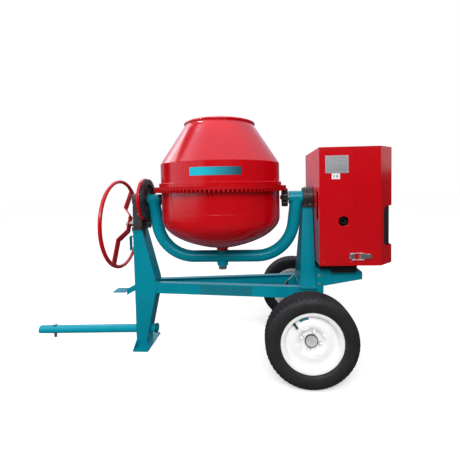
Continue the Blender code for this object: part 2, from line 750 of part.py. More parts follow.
def drive_pinion():
    thick = math.pi * RING_MODULE * 0.40
    add = PINION_OUT_R - PINION_PITCH_R
    out = spur_outline(PINION_TEETH, PINION_PITCH_R, add, 9.6, thick, math.radians(20), math.pi / 2)
    out = [(u, v + TILT_Z) for u, v in out]
    ob = prism("drive_pinion", out, "X", PINION_X0, PINION_X1)
    ob = cut(ob, rod("bore", "X", 0, TILT_Z, SHAFT_R + GAP, 560, 660, 20))
    return paint(ob, "black")


def pinion_shaft():
    prof = [(0, 578), (13, 578), (SHAFT_R, 580), (SHAFT_R, 874), (13, 876), (0, 876)]
    return paint(lathe("pinion_shaft", prof, "X", 0, TILT_Z, 20), "steel")


# ---- handwheel ------------------------------------------------------------------

def handwheel_rim():
    step = 2 * math.pi / 40
    pts = [(RIM_X, RIM_R * math.cos(i * step), HAND_Z + RIM_R * math.sin(i * step)) for i in range(40)]
    return paint(sweep("handwheel_rim", pts, RIM_TUBE, 8, True), "red")


def handwheel_spoke():
    line = [(-303.6, RIM_X), (-132, RIM_X), (-60, -566), (60, -566), (132, RIM_X), (297, RIM_X)]
    half, t = 30.0, 4.0
    # the upper arm leans further over than the lower one, and both ends follow the ring
    low = [(-half, 0)] * 4 + [(19.2 - half, 0), (34.1, 5.9)]
    high = [(half, 0)] * 4 + [(19.2 + half, 0), (92.1, -7.8)]
    up, dn = [], []
    for i, (u, x) in enumerate(line):
        a = line[max(0, i - 1)]
        b = line[min(len(line) - 1, i + 1)]
        da = Vector((b[0] - a[0], b[1] - a[1])).normalized()
        nrm = Vector((-da.y, da.x))
        up.append((u + nrm.x * t, x + nrm.y * t))
        dn.append((u - nrm.x * t, x - nrm.y * t))
    outline = up + dn[::-1]
    verts = []
    for side in (low, high):
        verts += [(x, w, u + du) for (u, x), (w, du) in zip(outline, side + side[::-1])]
    n = len(outline)
    faces = [(i, (i + 1) % n, n + (i + 1) % n, n + i) for i in range(n)]
    for k in (0, n):
        for i in range(len(line) - 1):
            a, b, c, d = k + i, k + i + 1, k + n - 2 - i, k + n - 1 - i
            faces += [(a, b, c), (a, c, d)]
    ob = build("handwheel_spoke", verts, faces)
    turn(ob, Matrix.Translation(Vector((0, 0, HAND_Z)) * MM) @ Matrix.Rotation(-SPOKE_LEAN, 4, "X"))
    return paint(cut(ob, rod("bore", "X", 0, HAND_Z, 12.4, -600, -540, 16)), "red")


def handwheel_shaft():
    prof = [(0, -590), (12, -590), (12, -561.4), (21, -561.4), (21, -524), (12, -524), (12, -400), (0, -400)]
    return paint(lathe("handwheel_shaft", prof, "X", 0, HAND_Z, 16), "steel")


def handwheel_nut():
    hexa = circle(0, HAND_Z, 17, 6, 0.3)
    ob = prism("handwheel_nut", hexa, "X", -586, -570.5)
    return paint(cut(ob, rod("bore", "X", 0, HAND_Z, 12.4, -600, -560, 16)), "zinc")


def tilt_pinion():
    thick = math.pi * TILT_MODULE / 2 - 0.7
    pitch_r = TILT_MODULE * TILT_PINION_TEETH / 2
    phase = math.pi / 2 + math.pi / TILT_PINION_TEETH
    out = spur_outline(TILT_PINION_TEETH, pitch_r, TILT_ADD, TILT_DED, thick, math.radians(22), phase)
    out = [(u, v + HAND_Z) for u, v in out]
    ob = prism("tilt_pinion", out, "X", -423.6, -402)
    ob = join(ob, rod("hub", "X", 0, HAND_Z, 17, -448, -423, 24))
    ob = cut(ob, rod("bore", "X", 0, HAND_Z, 12.4, -470, -380, 16))
    return paint(ob, "black")


# ---- wheels ------------------------------------------------------------------------

def tyre(name, s):
    tread = TYRE_R / math.cos(math.pi / WHEEL_SIDES)
    half = [(168.4, 59.6), (182.8, 59.6), (189, 71), (216, 81.5), (246, 80.5), (267, 66), (tread, 46)]
    inner = [(168.4, 40), (215, 66), (256, 52)]
    prof = half + [(r, -w) for r, w in half[::-1]]
    prof += [(r, -w) for r, w in inner] + [(r, w) for r, w in inner[::-1]]
    prof = [(r, s * (WHEEL_Y + w)) for r, w in prof]
    return paint(lathe(name, prof, "Y", WHEEL_X, TYRE_R, WHEEL_SIDES), "rubber")


def rim(name, s):
    prof = [(182, 63.5), (182, 60.2), (168, 60.2), (165, 38), (150, 26), (150, -38), (168, -60.2),
            (182, -60.2), (182, -63.5), (165, -63), (146.5, -40), (146.5, 18), (103, 30),
            (82, 25), (64, 9), (33.6, 9), (33.6, 13), (61, 13), (80, 29.5), (103, 34.5),
            (146.5, 24), (165, 63)]
    prof = [(r, s * (WHEEL_Y + w)) for r, w in prof]
    return paint(lathe(name, prof, "Y", WHEEL_X, TYRE_R, WHEEL_SIDES), "white")


def hub(name, s):
    prof = [(15.6, -42), (30, -42), (30, 2), (68, 2), (68, 8.6), (32.7, 8.6), (32.7, 13.4), (35, 13.4),
            (35, 37), (0, 37), (0, 22), (15.6, 22)]
    prof = [(r, s * (WHEEL_Y + w)) for r, w in prof]
    return paint(lathe(name, prof, "Y", WHEEL_X, TYRE_R, 16), "black")


# ---- pedal, brake rod and tow bar -----------------------------------------------------

def foot_pedal():
    arm = [(-602, 371), (-602, 416), (-503, 468), (-470, 472), (-430, 472), (-430, 458), (-458, 444),
           (-503, 424)]
    ob = prism("foot_pedal", arm, "Y", -7, 7)
    ob = join(ob, box("pad", -692, -598, -45, 45, 402, 410),
              box("foot", -448, -431, -38, 5, 462, 472),
              rod("pivot", "Y", -475, 455, 9, -59.5, 59.5, 24))
    return paint(ob, "teal")


def brake_rod():
    ob = rod("brake_rod", "Z", -440, -28, 5.5, 472.4, 930, 16)
    ob = join(ob, box("shoe", -445.5, -434, -38, -20, 924, 934))
    return paint(ob, "zinc")


def sloped(ob):
    pivot = Matrix.Translation(Vector((-475, 0, TOW_Z)) * MM)
    return turn(ob, pivot @ Matrix.Rotation(-TOW_SLOPE, 4, "Y") @ pivot.inverted())


def tow_bar():
    ob = rod("tow_bar", "X", 0, TOW_Z, TOW_R, -1305.7, -370, 24)
    ob = cut(ob, rod("bore", "X", 0, TOW_Z, TOW_R - 4, -1350, -300, 16),
             rod("pin_hole", "Z", -1190, 0, 10.4, 50, 180, 16))
    return paint(sloped(ob), "teal")


def tow_collar():
    ob = rod("tow_collar", "X", 0, TOW_Z, 36, -393, -375, 28)
    ob = cut(ob, rod("bore", "X", 0, TOW_Z, TOW_R + 0.5, -410, -350, 28))
    return paint(sloped(ob), "black")


def hitch_pin():
    z = TOW_Z
    prof = [(0, z - 62), (8, z - 62), (10, z - 58), (10, z + 30.6), (17, z + 30.6), (17, z + 39),
            (14, z + 42), (0, z + 42)]
    return paint(sloped(lathe("hitch_pin", prof, "Z", -1190, 0, 16)), "zinc")


def set_origin(names, point):
    """Put each object's origin on its joint axis without moving the shape."""
    spot = Vector(point) * MM
    for name in names:
        ob = bpy.data.objects[name]
        ob.data.transform(Matrix.Translation(-spot))
        ob.location = spot


front_post()
front_foot()
side_beam("near_side_beam", -1)
side_beam("far_side_beam", 1)
rear_cross_member()
rear_post()
axle()
engine_bracket()
engine_base()
front_bearing_bracket()
rear_bearing_block()
lock_guide()
hood_front_shell()
hood_rear_shell()
hood_hinge_pin()
vent_guard()
data_plate()
latch_keeper()
latch_base()
latch_lever()
latch_loop()
engine_block()
muffler()
fuel_tank()
recoil_starter()
engine_shaft()
engine_pulley()
drive_pulley()
drive_belt()
yoke_tube()
left_trunnion()
tilt_gear()
brake_disc()
drum_bowl()
drum_cone()
ring_gear()
mixing_blade("mixing_blade_a", 0.0)
mixing_blade("mixing_blade_b", math.pi)
drum_shaft()
drum_nut()
drive_pinion()
pinion_shaft()
handwheel_rim()
handwheel_spoke()
handwheel_shaft()
handwheel_nut()
tilt_pinion()
for label, sign in (("near", -1), ("far", 1)):
    tyre(label + "_tyre", sign)
    rim(label + "_rim", sign)
    hub(label + "_hub", sign)
foot_pedal()
brake_rod()
tow_bar()
tow_collar()
hitch_pin()

set_origin(["yoke_tube", "left_trunnion", "tilt_gear", "brake_disc"], (DRUM_X, 0, TILT_Z))
set_origin(["drum_bowl", "drum_cone", "ring_gear", "mixing_blade_a", "mixing_blade_b", "drum_shaft",
            "drum_nut"], (DRUM_X, 0, TILT_Z))
set_origin(["drive_pinion", "pinion_shaft", "drive_pulley"], (PINION_X0, 0, TILT_Z))
set_origin(["engine_shaft", "engine_pulley"], (BELT_X, 0, CRANK_Z))
set_origin(["handwheel_rim", "handwheel_spoke", "handwheel_shaft", "handwheel_nut", "tilt_pinion"],
           (RIM_X, 0, HAND_Z))
set_origin(["near_tyre", "near_rim", "near_hub"], (WHEEL_X, -WHEEL_Y, TYRE_R))
set_origin(["far_tyre", "far_rim", "far_hub"], (WHEEL_X, WHEEL_Y, TYRE_R))
set_origin(["hood_rear_shell", "vent_guard", "latch_base"], (SEAM_X, HOOD_Y + 8, HOOD_Z0))
set_origin(["latch_lever"], (1072, -HOOD_Y - 9, 719))
set_origin(["latch_loop"], (1092, -HOOD_Y - 10, 719))
set_origin(["foot_pedal"], (-475, 0, 455))
set_origin(["brake_rod"], (-440, -28, 472.4))
set_origin(["tow_bar", "tow_collar"], (-475, 0, TOW_Z))
set_origin(["hitch_pin"], (-1190, 0, TOW_Z))

for ob in bpy.data.objects:
    ob.data.shade_smooth()
    ob.data.set_sharp_from_angle(angle=math.radians(35))
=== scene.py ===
# Concrete mixer: materials, detailed pieces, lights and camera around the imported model.
# Lengths in this file are millimetres unless a name says otherwise; meshes are written in metres.
import math
import bpy
import bmesh
from mathutils import Matrix, Vector


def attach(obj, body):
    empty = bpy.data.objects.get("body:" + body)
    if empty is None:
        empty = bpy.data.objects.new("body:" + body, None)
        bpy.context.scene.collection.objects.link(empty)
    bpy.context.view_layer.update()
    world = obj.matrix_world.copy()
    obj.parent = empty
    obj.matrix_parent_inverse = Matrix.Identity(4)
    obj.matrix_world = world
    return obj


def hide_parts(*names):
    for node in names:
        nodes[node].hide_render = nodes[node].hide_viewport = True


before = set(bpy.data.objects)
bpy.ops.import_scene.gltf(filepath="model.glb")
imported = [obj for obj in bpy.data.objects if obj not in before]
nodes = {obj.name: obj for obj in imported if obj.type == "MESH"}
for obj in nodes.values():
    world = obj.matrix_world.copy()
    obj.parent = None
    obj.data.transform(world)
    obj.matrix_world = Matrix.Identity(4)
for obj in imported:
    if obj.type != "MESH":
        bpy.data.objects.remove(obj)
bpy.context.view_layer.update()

MM = 0.001

# Main lines of the machine, the same as in the CAD
DRUM_X, TILT_Z, HAND_Z, CRANK_Z = 141.0, 1100.0, 920.0, 800.0
WHEEL_X, WHEEL_Y, TYRE_R = 711.7, 475.0, 273.0
HOOD_X0, SEAM_X, HOOD_X1 = 810.0, 1040.5, 1306.0
HOOD_Y, HOOD_Z0, HOOD_Z1 = 270.0, 657.0, 1427.0
TOW_Z, TOW_R, TOW_SLOPE = 111.3, 30.15, math.radians(1.05)
ARM_LEAN, BEND_R, BEND_Z, BEND_XL, BEND_XR = math.radians(7.3), 278.0, 945.0, -70.0, 397.0
YOKE_R = 44.4
HAND_X, HAND_R, HAND_BAR_R, HAND_WELD_R = -628.0, 320.0, 13.0, 306.6
LIP_DEPTH = 24.0


# ---- shapes ---------------------------------------------------------------------------------

class Shape:
    """Vertices and faces in millimetres, gathered from several simple forms."""

    def __init__(self):
        self.verts, self.faces = [], []

    def add(self, verts, faces, matrix=None):
        base = len(self.verts)
        for v in verts:
            v = Vector(v)
            self.verts.append(matrix @ v if matrix else v)
        self.faces += [tuple(base + i for i in f) for f in faces]
        return self

    def box(self, x0, x1, y0, y1, z0, z1, matrix=None):
        verts = [(x, y, z) for x in (x0, x1) for y in (y0, y1) for z in (z0, z1)]
        faces = [(0, 1, 3, 2), (4, 6, 7, 5), (0, 4, 5, 1), (2, 3, 7, 6), (0, 2, 6, 4), (1, 5, 7, 3)]
        return self.add(verts, faces, matrix)

    def prism(self, outline, axis, lo, hi, matrix=None):
        """Outline pairs are (y, z) for axis X, (x, z) for axis Y and (x, y) for axis Z."""
        verts = []
        for w in (lo, hi):
            for u, v in outline:
                verts.append({"X": (w, u, v), "Y": (u, w, v), "Z": (u, v, w)}[axis])
        n = len(outline)
        faces = [tuple(range(n)), tuple(range(n, 2 * n))]
        faces += [(i, (i + 1) % n, n + (i + 1) % n, n + i) for i in range(n)]
        return self.add(verts, faces, matrix)

    def lathe(self, profile, axis, cu, cv, n=96, closed=True, matrix=None):
        """Profile pairs are (radius, place along the axis)."""
        verts, faces, rows = [], [], []
        for r, w in profile:
            row = []
            for i in range(1 if r < 1e-6 else n):
                a = 2 * math.pi * i / n
                u, v = cu + r * math.cos(a), cv + r * math.sin(a)
                row.append(len(verts))
                verts.append({"X": (w, u, v), "Y": (u, w, v), "Z": (u, v, w)}[axis])
            rows.append(row)
        pairs = list(zip(rows, rows[1:] + rows[:1])) if closed else list(zip(rows, rows[1:]))
        for a, b in pairs:
            if len(a) == 1 and len(b) == 1:
                continue
            for i in range(n):
                j = (i + 1) % n
                if len(a) == 1:
                    faces.append((a[0], b[i], b[j]))
                elif len(b) == 1:
                    faces.append((a[i], b[0], a[j]))
                else:
                    faces.append((a[i], b[i], b[j], a[j]))
        return self.add(verts, faces, matrix)

    def tube(self, points, radius, n=24, closed=False, matrix=None):
        """Round bar along a smooth path; radius may be a number or one number per point."""
        pts = [Vector(p) for p in points]
        count = len(pts)
        radii = radius if isinstance(radius, (list, tuple)) else [radius] * count
        verts, faces = [], []
        side = None
        for i, p in enumerate(pts):
            a = pts[i - 1] if closed or i else pts[i]
            b = pts[(i + 1) % count] if closed or i < count - 1 else pts[i]
            t = (b - a).normalized()
            if side is None:
                side = t.orthogonal().normalized()
            side = (side - t * side.dot(t)).normalized()
            up = t.cross(side)
            for k in range(n):
                ang = 2 * math.pi * k / n
                verts.append(p + (side * math.cos(ang) + up * math.sin(ang)) * radii[i])
        for i in range(count if closed else count - 1):
            a, b = i * n, ((i + 1) % count) * n
            for k in range(n):
                m = (k + 1) % n
                faces.append((a + k, a + m, b + m, b + k))
        if not closed:
            faces.append(tuple(range(n)))
            faces.append(tuple(range((count - 1) * n, count * n)))
        return self.add(verts, faces, matrix)

    def bolt(self, spot, axis, flats=17.0, height=7.0, washer=1.6, turn=0.0, thread=0.0):
        """Hex head with a chamfered top on a washer, pointing along axis."""
        z = Vector(axis).normalized()
        m = Matrix.Translation(Vector(spot)) @ z.to_track_quat("Z", "Y").to_matrix().to_4x4()
        m = m @ Matrix.Rotation(turn, 4, "Z")
        r = flats / math.sqrt(3)
        if washer:
            self.lathe([(0, 0), (flats * 0.98, 0), (flats, 0.3), (flats, washer - 0.3),
                        (flats * 0.98, washer), (0, washer)], "Z", 0, 0, 32, False, m)
        top = washer + height
        rings = [(1.0, washer), (1.0, top - flats * 0.09), (0.90, top)]
        verts = []
        for k, (f, zz) in enumerate(rings):
            for i in range(12):
                a = math.pi / 6 * i
                corner = r if i % 2 == 0 else r * math.cos(math.pi / 6)
                rr = corner * f if k < 2 else r * 0.86
                verts.append((rr * math.cos(a), rr * math.sin(a), zz))
        faces = [tuple(range(12)), tuple(range(24, 36))]
        for k in (0, 12):
            faces += [(k + i, k + (i + 1) % 12, k + 12 + (i + 1) % 12, k + 12 + i) for i in range(12)]
        self.add(verts, faces, m)
        if thread:
            self.lathe([(0, top), (flats * 0.30, top), (flats * 0.30, top + thread - 1),
                        (flats * 0.25, top + thread), (0, top + thread)], "Z", 0, 0, 20, False, m)
        return self

    def weld(self, points, r=3.2, step=2.4):
        """Fillet weld bead: a bar with small even ripples, laid along straight runs."""
        pts = [Vector(p) for p in points]
        line, radii = [], []
        k = 0
        for a, b in zip(pts, pts[1:]):
            count = max(3, int((b - a).length / step))
            for i in range(count):
                line.append(a.lerp(b, i / count))
                radii.append(r * (1.0 + 0.13 * math.sin(k * 1.7) + 0.05 * math.sin(k * 0.31)))
                k += 1
        line.append(pts[-1])
        radii.append(r * 0.9)
        return self.tube(line, radii, 8)


def linked(name, shape):
    """New object with the shape's mesh in metres, its faces turned outwards."""
    mesh = bpy.data.meshes.new(name)
    mesh.from_pydata([v * MM for v in shape.verts], [], shape.faces)
    bm = bmesh.new()
    bm.from_mesh(mesh)
    bmesh.ops.recalc_face_normals(bm, faces=bm.faces)
    bm.to_mesh(mesh)
    bm.free()
    ob = bpy.data.objects.new(name, mesh)
    bpy.context.scene.collection.objects.link(ob)
    return ob


def piece(name, shape, mat, body, sharp=35, bevel=0.0, replaces=()):
    """Turns a Shape into an object that rides on a CAD body."""
    ob = linked(name, shape)
    ob.data.shade_smooth()
    ob.data.set_sharp_from_angle(angle=math.radians(sharp))
    ob.data.materials.append(mat)
    if bevel:
        add_bevel(ob, bevel)
    else:
        # large faces keep their own direction, so flat walls do not shade like pillows
        even = ob.modifiers.new("even", "WEIGHTED_NORMAL")
        even.mode = "FACE_AREA"
        even.keep_sharp = True
    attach(ob, body)
    if replaces:
        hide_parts(*replaces)
    return ob


def add_bevel(ob, width, segments=2, angle=40):
    mod = ob.modifiers.new("edge", "BEVEL")
    mod.width = width * MM
    mod.segments = segments
    mod.limit_method = "ANGLE"
    mod.angle_limit = math.radians(angle)
    mod.harden_normals = True
    mod.use_clamp_overlap = True
    return mod


def boolean(ob, tools):
    """Cuts throw-away tool shapes out of an object."""
    for tool in tools:
        other = linked("tool", tool)
        mod = ob.modifiers.new("cut", "BOOLEAN")
        mod.operation = "DIFFERENCE"
        mod.solver = "EXACT"
        mod.object = other
        bpy.context.view_layer.update()
        graph = bpy.context.evaluated_depsgraph_get()
        done = bpy.data.meshes.new_from_object(ob.evaluated_get(graph))
        ob.modifiers.remove(mod)
        ob.data = done
        bpy.data.objects.remove(other)
    ob.data.shade_smooth()
    ob.data.set_sharp_from_angle(angle=math.radians(35))


def arc(cu, cv, r, a0, a1, n):
    """Points (u, v) on an arc, angles in degrees."""
    out = []
    for i in range(n + 1):
        a = math.radians(a0 + (a1 - a0) * i / n)
        out.append((cu + r * math.cos(a), cv + r * math.sin(a)))
    return out


def rounded(u0, u1, v0, v1, r, n=6):
    """Rectangle with rounded corners as (u, v) points."""
    return (arc(u1 - r, v1 - r, r, 0, 90, n) + arc(u0 + r, v1 - r, r, 90, 180, n)
            + arc(u0 + r, v0 + r, r, 180, 270, n) + arc(u1 - r, v0 + r, r, 270, 360, n))


def spline(points, per=6):
    """Catmull-Rom points through an open list of pairs."""
    out = []
    for i in range(len(points) - 1):
        p0, p1 = points[max(0, i - 1)], points[i]
        p2, p3 = points[i + 1], points[min(len(points) - 1, i + 2)]
        for k in range(per):
            t = k / per
            out.append(tuple(0.5 * (2 * p1[j] + (p2[j] - p0[j]) * t
                                    + (2 * p0[j] - 5 * p1[j] + 4 * p2[j] - p3[j]) * t * t
                                    + (3 * p1[j] - p0[j] - 3 * p2[j] + p3[j]) * t ** 3) for j in (0, 1)))
    out.append(tuple(points[-1]))
    return out


def sleeve(r_in, r_out, lo, hi, edge):
    """Profile of a ring with two bevelled outer edges."""
    return [(r_in, lo), (r_out - edge, lo), (r_out, lo + edge),
            (r_out, hi - edge), (r_out - edge, hi), (r_in, hi)]


def foil_sheet(verts, count):
    """Thin foil of four rows with count + 1 points: both edges inside, then both edges outside."""
    n = count + 1
    faces = []
    for i in range(count):
        faces += [(i, i + 1, n + i + 1, n + i), (2 * n + i, 3 * n + i, 3 * n + i + 1, 2 * n + i + 1),
                  (i, 2 * n + i, 2 * n + i + 1, i + 1), (n + i, n + i + 1, 3 * n + i + 1, 3 * n + i)]
    faces += [(0, n, 3 * n, 2 * n), (n - 1, 3 * n - 1, 4 * n - 1, 2 * n - 1)]
    return Shape().add(verts, faces)


PLATE_RIVET = [(0, 0), (2.8, 0), (2.6, 0.9), (1.6, 1.6), (0, 1.9)]
LATCH_RIVET = [(0, 0), (2.6, 0), (2.3, 0.9), (1.2, 1.5), (0, 1.6)]
HOOD_RIVET = [(0, 0), (4.6, 0), (4.2, 1.6), (2.4, 2.6), (0, 2.9)]
NIPPLE = [(0, 0), (5, 0), (5, 4), (3.4, 5), (2.6, 9), (3.6, 11), (3.4, 13.5), (0, 15)]
HOOD_SCREW = [(0, 0), (8.5, 0), (8.5, 1.0), (6.2, 1.2), (5.4, 3.6), (3.6, 4.6), (0, 4.9)]


def head(s, profile, spot, side, n=20):
    """Rivet or screw head on a wall that faces -Y for side -1 and +Y for side 1."""
    turn = Matrix.Rotation(-side * math.pi / 2, 4, "X")
    s.lathe(profile, "Z", 0, 0, n, False, Matrix.Translation(Vector(spot)) @ turn)


# ---- materials ------------------------------------------------------------------------------

class Graph:
    """Small helper for the node tree of a new material, or of the given world."""

    def __init__(self, name, world=None):
        self.mat = world or bpy.data.materials.new(name)
        self.mat.use_nodes = True
        self.tree = self.mat.node_tree
        self.shader = self.tree.nodes["Background" if world else "Principled BSDF"]
        self.coord = self.node("ShaderNodeTexCoord").outputs["Generated" if world else "Object"]

    def node(self, kind, **values):
        node = self.tree.nodes.new(kind)
        for key, value in values.items():
            setattr(node, key, value)
        return node

    def link(self, a, b):
        self.tree.links.new(a, b)

    def scaled(self, x, y, z):
        node = self.node("ShaderNodeMapping")
        node.inputs["Scale"].default_value = (x, y, z)
        self.link(self.coord, node.inputs["Vector"])
        return node.outputs["Vector"]

    def noise(self, scale, detail=3.0, rough=0.5, vector=None, distortion=0.0):
        node = self.node("ShaderNodeTexNoise")
        node.inputs["Scale"].default_value = scale
        node.inputs["Detail"].default_value = detail
        node.inputs["Roughness"].default_value = rough
        node.inputs["Distortion"].default_value = distortion
        self.link(vector or self.coord, node.inputs["Vector"])
        return node.outputs["Fac"]

    def voronoi(self, scale, feature="F1", vector=None):
        node = self.node("ShaderNodeTexVoronoi", feature=feature)
        node.inputs["Scale"].default_value = scale
        self.link(vector or self.coord, node.inputs["Vector"])
        return node.outputs["Distance"]

    def ramp(self, source, stops, smooth=False):
        node = self.node("ShaderNodeValToRGB")
        if smooth:
            node.color_ramp.interpolation = "EASE"
        band = node.color_ramp.elements
        while len(band) < len(stops):
            band.new(0.5)
        for e, (at, value) in zip(band, stops):
            e.position = at
            e.color = (value, value, value, 1) if isinstance(value, (int, float)) else (*value, 1)
        self.link(source, node.inputs["Fac"])
        return node.outputs["Color"]

    def mix(self, factor, a, b, mode="MIX"):
        node = self.node("ShaderNodeMix", data_type="RGBA", blend_type=mode)
        for socket, value in ((node.inputs[0], factor), (node.inputs[6], a), (node.inputs[7], b)):
            if isinstance(value, (int, float)):
                socket.default_value = value
            elif isinstance(value, tuple):
                socket.default_value = (*value, 1)
            else:
                self.link(value, socket)
        return node.outputs[2]

    def span(self, source, low, high, start=0.0, stop=1.0, soft=False):
        node = self.node("ShaderNodeMapRange", interpolation_type="SMOOTHSTEP" if soft else "LINEAR")
        node.inputs["From Min"].default_value = start
        node.inputs["From Max"].default_value = stop
        node.inputs["To Min"].default_value = low
        node.inputs["To Max"].default_value = high
        self.link(source, node.inputs["Value"])
        return node.outputs["Result"]

    def dot(self, source, direction):
        node = self.node("ShaderNodeVectorMath", operation="DOT_PRODUCT")
        node.inputs[1].default_value = direction
        self.link(source, node.inputs[0])
        return node.outputs["Value"]

    def maths(self, operation, *sources):
        node = self.node("ShaderNodeMath", operation=operation)
        for socket, source in zip(node.inputs, sources):
            self.link(source, socket)
        return node.outputs[0]

    def bump(self, source, strength, distance, after=None):
        node = self.node("ShaderNodeBump")
        node.inputs["Strength"].default_value = strength
        node.inputs["Distance"].default_value = distance
        self.link(source, node.inputs["Height"])
        if after is not None:
            self.link(after, node.inputs["Normal"])
        return node.outputs["Normal"]

    def done(self, color, rough, normal=None, **constants):
        for socket, value in (("Base Color", color), ("Roughness", rough)):
            if isinstance(value, (int, float)):
                self.shader.inputs[socket].default_value = value
            elif isinstance(value, tuple):
                self.shader.inputs[socket].default_value = (*value, 1)
            else:
                self.link(value, self.shader.inputs[socket])
        if normal is not None:
            self.link(normal, self.shader.inputs["Normal"])
        for key, value in constants.items():
            self.shader.inputs[key.replace("_", " ")].default_value = value
        return self.mat


def gloss_paint(name, color, deep, rough=0.18, coat=0.05, dust=0.012, specular=0.40):
    """Stove enamel on steel: orange peel, soft tone shifts, a little dust in the gloss."""
    g = Graph(name)
    tone = g.ramp(g.noise(2.3, 4, 0.55), [(0.30, deep), (0.62, color)], True)
    speck = g.ramp(g.noise(420, 2, 0.5), [(0.66, 0.0), (0.78, 1.0)])
    pale = tuple(min(1.0, c * 0.7 + 0.22) for c in color)
    tone = g.mix(g.span(speck, 0.0, dust), tone, pale)
    haze = g.span(g.noise(7, 3, 0.5), rough - 0.02, rough + 0.04, 0.3, 0.75)
    peel = g.bump(g.noise(150, 2, 0.4), 0.03, 0.0004)
    wave = g.bump(g.noise(5, 1, 0.3), 0.03, 0.004, peel)
    return g.done(tone, haze, wave, Coat_Weight=coat, Coat_Roughness=0.08, Coat_IOR=1.4,
                  Specular_IOR_Level=specular)


def cast_paint(name, color, rough=0.45):
    """Sand-cast iron with semi-gloss black paint."""
    g = Graph(name)
    grain = g.noise(240, 5, 0.65)
    tone = g.mix(g.ramp(g.noise(14, 4, 0.6), [(0.35, 0.0), (0.7, 1.0)]), color,
                 tuple(c * 1.9 + 0.006 for c in color))
    pits = g.ramp(g.voronoi(300), [(0.0, 0.0), (0.35, 1.0)])
    n = g.bump(grain, 0.35, 0.0012)
    n = g.bump(pits, 0.12, 0.0007, n)
    return g.done(tone, g.span(g.noise(35, 4), rough - 0.1, rough + 0.14, 0.3, 0.7), n, Coat_Weight=0.12,
                  Coat_Roughness=0.3)


def bright_metal(name, color, rough=0.28, grain=(1, 1, 1), tint=0.25):
    """Zinc plate or turned steel with fine directional marks."""
    g = Graph(name)
    fine = g.noise(90, 6, 0.7, g.scaled(*grain))
    blotch = g.noise(26, 3, 0.6)
    tone = g.mix(g.ramp(blotch, [(0.35, 0.0), (0.7, 1.0)]), color, tuple(c * (1 - tint) for c in color))
    n = g.bump(fine, 0.12, 0.0004)
    return g.done(tone, g.span(fine, rough - 0.06, rough + 0.14, 0.3, 0.7), n, Metallic=1.0)


def rubber(name, color, rough=0.62):
    g = Graph(name)
    tone = g.mix(g.ramp(g.noise(12, 5, 0.6), [(0.35, 0.0), (0.72, 1.0)]), color,
                 tuple(c * 1.6 + 0.004 for c in color))
    dust = g.ramp(g.noise(38, 5, 0.7), [(0.58, 0.0), (0.80, 1.0)])
    tone = g.mix(g.span(dust, 0.0, 0.16), tone, (0.11, 0.105, 0.10))
    n = g.bump(g.noise(620, 3, 0.6), 0.16, 0.0006)
    return g.done(tone, g.span(g.noise(22, 4), rough - 0.08, rough + 0.12, 0.3, 0.7), n,
                  Specular_IOR_Level=0.38)


def plastic(name, color, rough=0.4):
    g = Graph(name)
    pale = tuple(c * 1.25 + 0.002 for c in color)
    tone = g.mix(g.ramp(g.noise(18, 3), [(0.4, 0.0), (0.7, 1.0)]), color, pale)
    n = g.bump(g.voronoi(900), 0.10, 0.0004)
    return g.done(tone, g.span(g.noise(60, 3), rough - 0.06, rough + 0.1, 0.3, 0.7), n)


def cast_metal(name, color, rough=0.5):
    g = Graph(name)
    dark = tuple(c * 0.6 for c in color)
    tone = g.mix(g.ramp(g.noise(20, 5, 0.65), [(0.3, 0.0), (0.75, 1.0)]), color, dark)
    n = g.bump(g.noise(300, 5, 0.7), 0.3, 0.0010)
    return g.done(tone, g.span(g.noise(40, 3), rough - 0.1, rough + 0.12, 0.3, 0.7), n, Metallic=0.9)


def label(name, left, right, x0, x1):
    """Printed foil with a colour that runs from left to right, in metres along X."""
    g = Graph(name)
    sep = g.node("ShaderNodeSeparateXYZ")
    g.link(g.coord, sep.inputs[0])
    along = g.span(sep.outputs["X"], 0.0, 1.0, x0, x1)
    tone = g.ramp(along, [(0.0, left), (0.22, left), (1.0, right)])
    grain = g.noise(900, 2, 0.5)
    tone = g.mix(g.span(grain, 0.0, 0.02), tone, (1.0, 1.0, 1.0))
    return g.done(tone, 0.3, g.bump(grain, 0.04, 0.0003), Specular_IOR_Level=0.2)


RED = gloss_paint("red_enamel", (0.565, 0.0010, 0.0060), (0.51, 0.0008, 0.0050), dust=0.002, specular=0.52)
TEAL = gloss_paint("teal_enamel", (0.0008, 0.280, 0.378), (0.0008, 0.235, 0.320), coat=0.0, dust=0.002,
                   specular=0.2)
# ring gear red, darker than the drum's red: painted shade for the dark gaps between the teeth
SHADED_GEAR_RED = gloss_paint("gear_shaded_enamel", (0.48, 0.0008, 0.0050), (0.42, 0.0006, 0.0040), 0.45, 0.0, 0.004, 0.15)
# brighter copy of the frame's teal for the tow bar and pedal tread: painted light where the top-lit tube and
# plate catch the light
LIT_TEAL = gloss_paint("lit_teal_enamel", (0.0008, 0.355, 0.480), (0.0008, 0.310, 0.420), coat=0.0, dust=0.002,
                       specular=0.2)
WHITE = gloss_paint("white_enamel", (0.93, 0.93, 0.93), (0.90, 0.90, 0.905), 0.3, 0.1, 0.0)
BLACK = gloss_paint("black_enamel", (0.012, 0.012, 0.013), (0.009, 0.009, 0.010), 0.38, 0.1, 0.02)
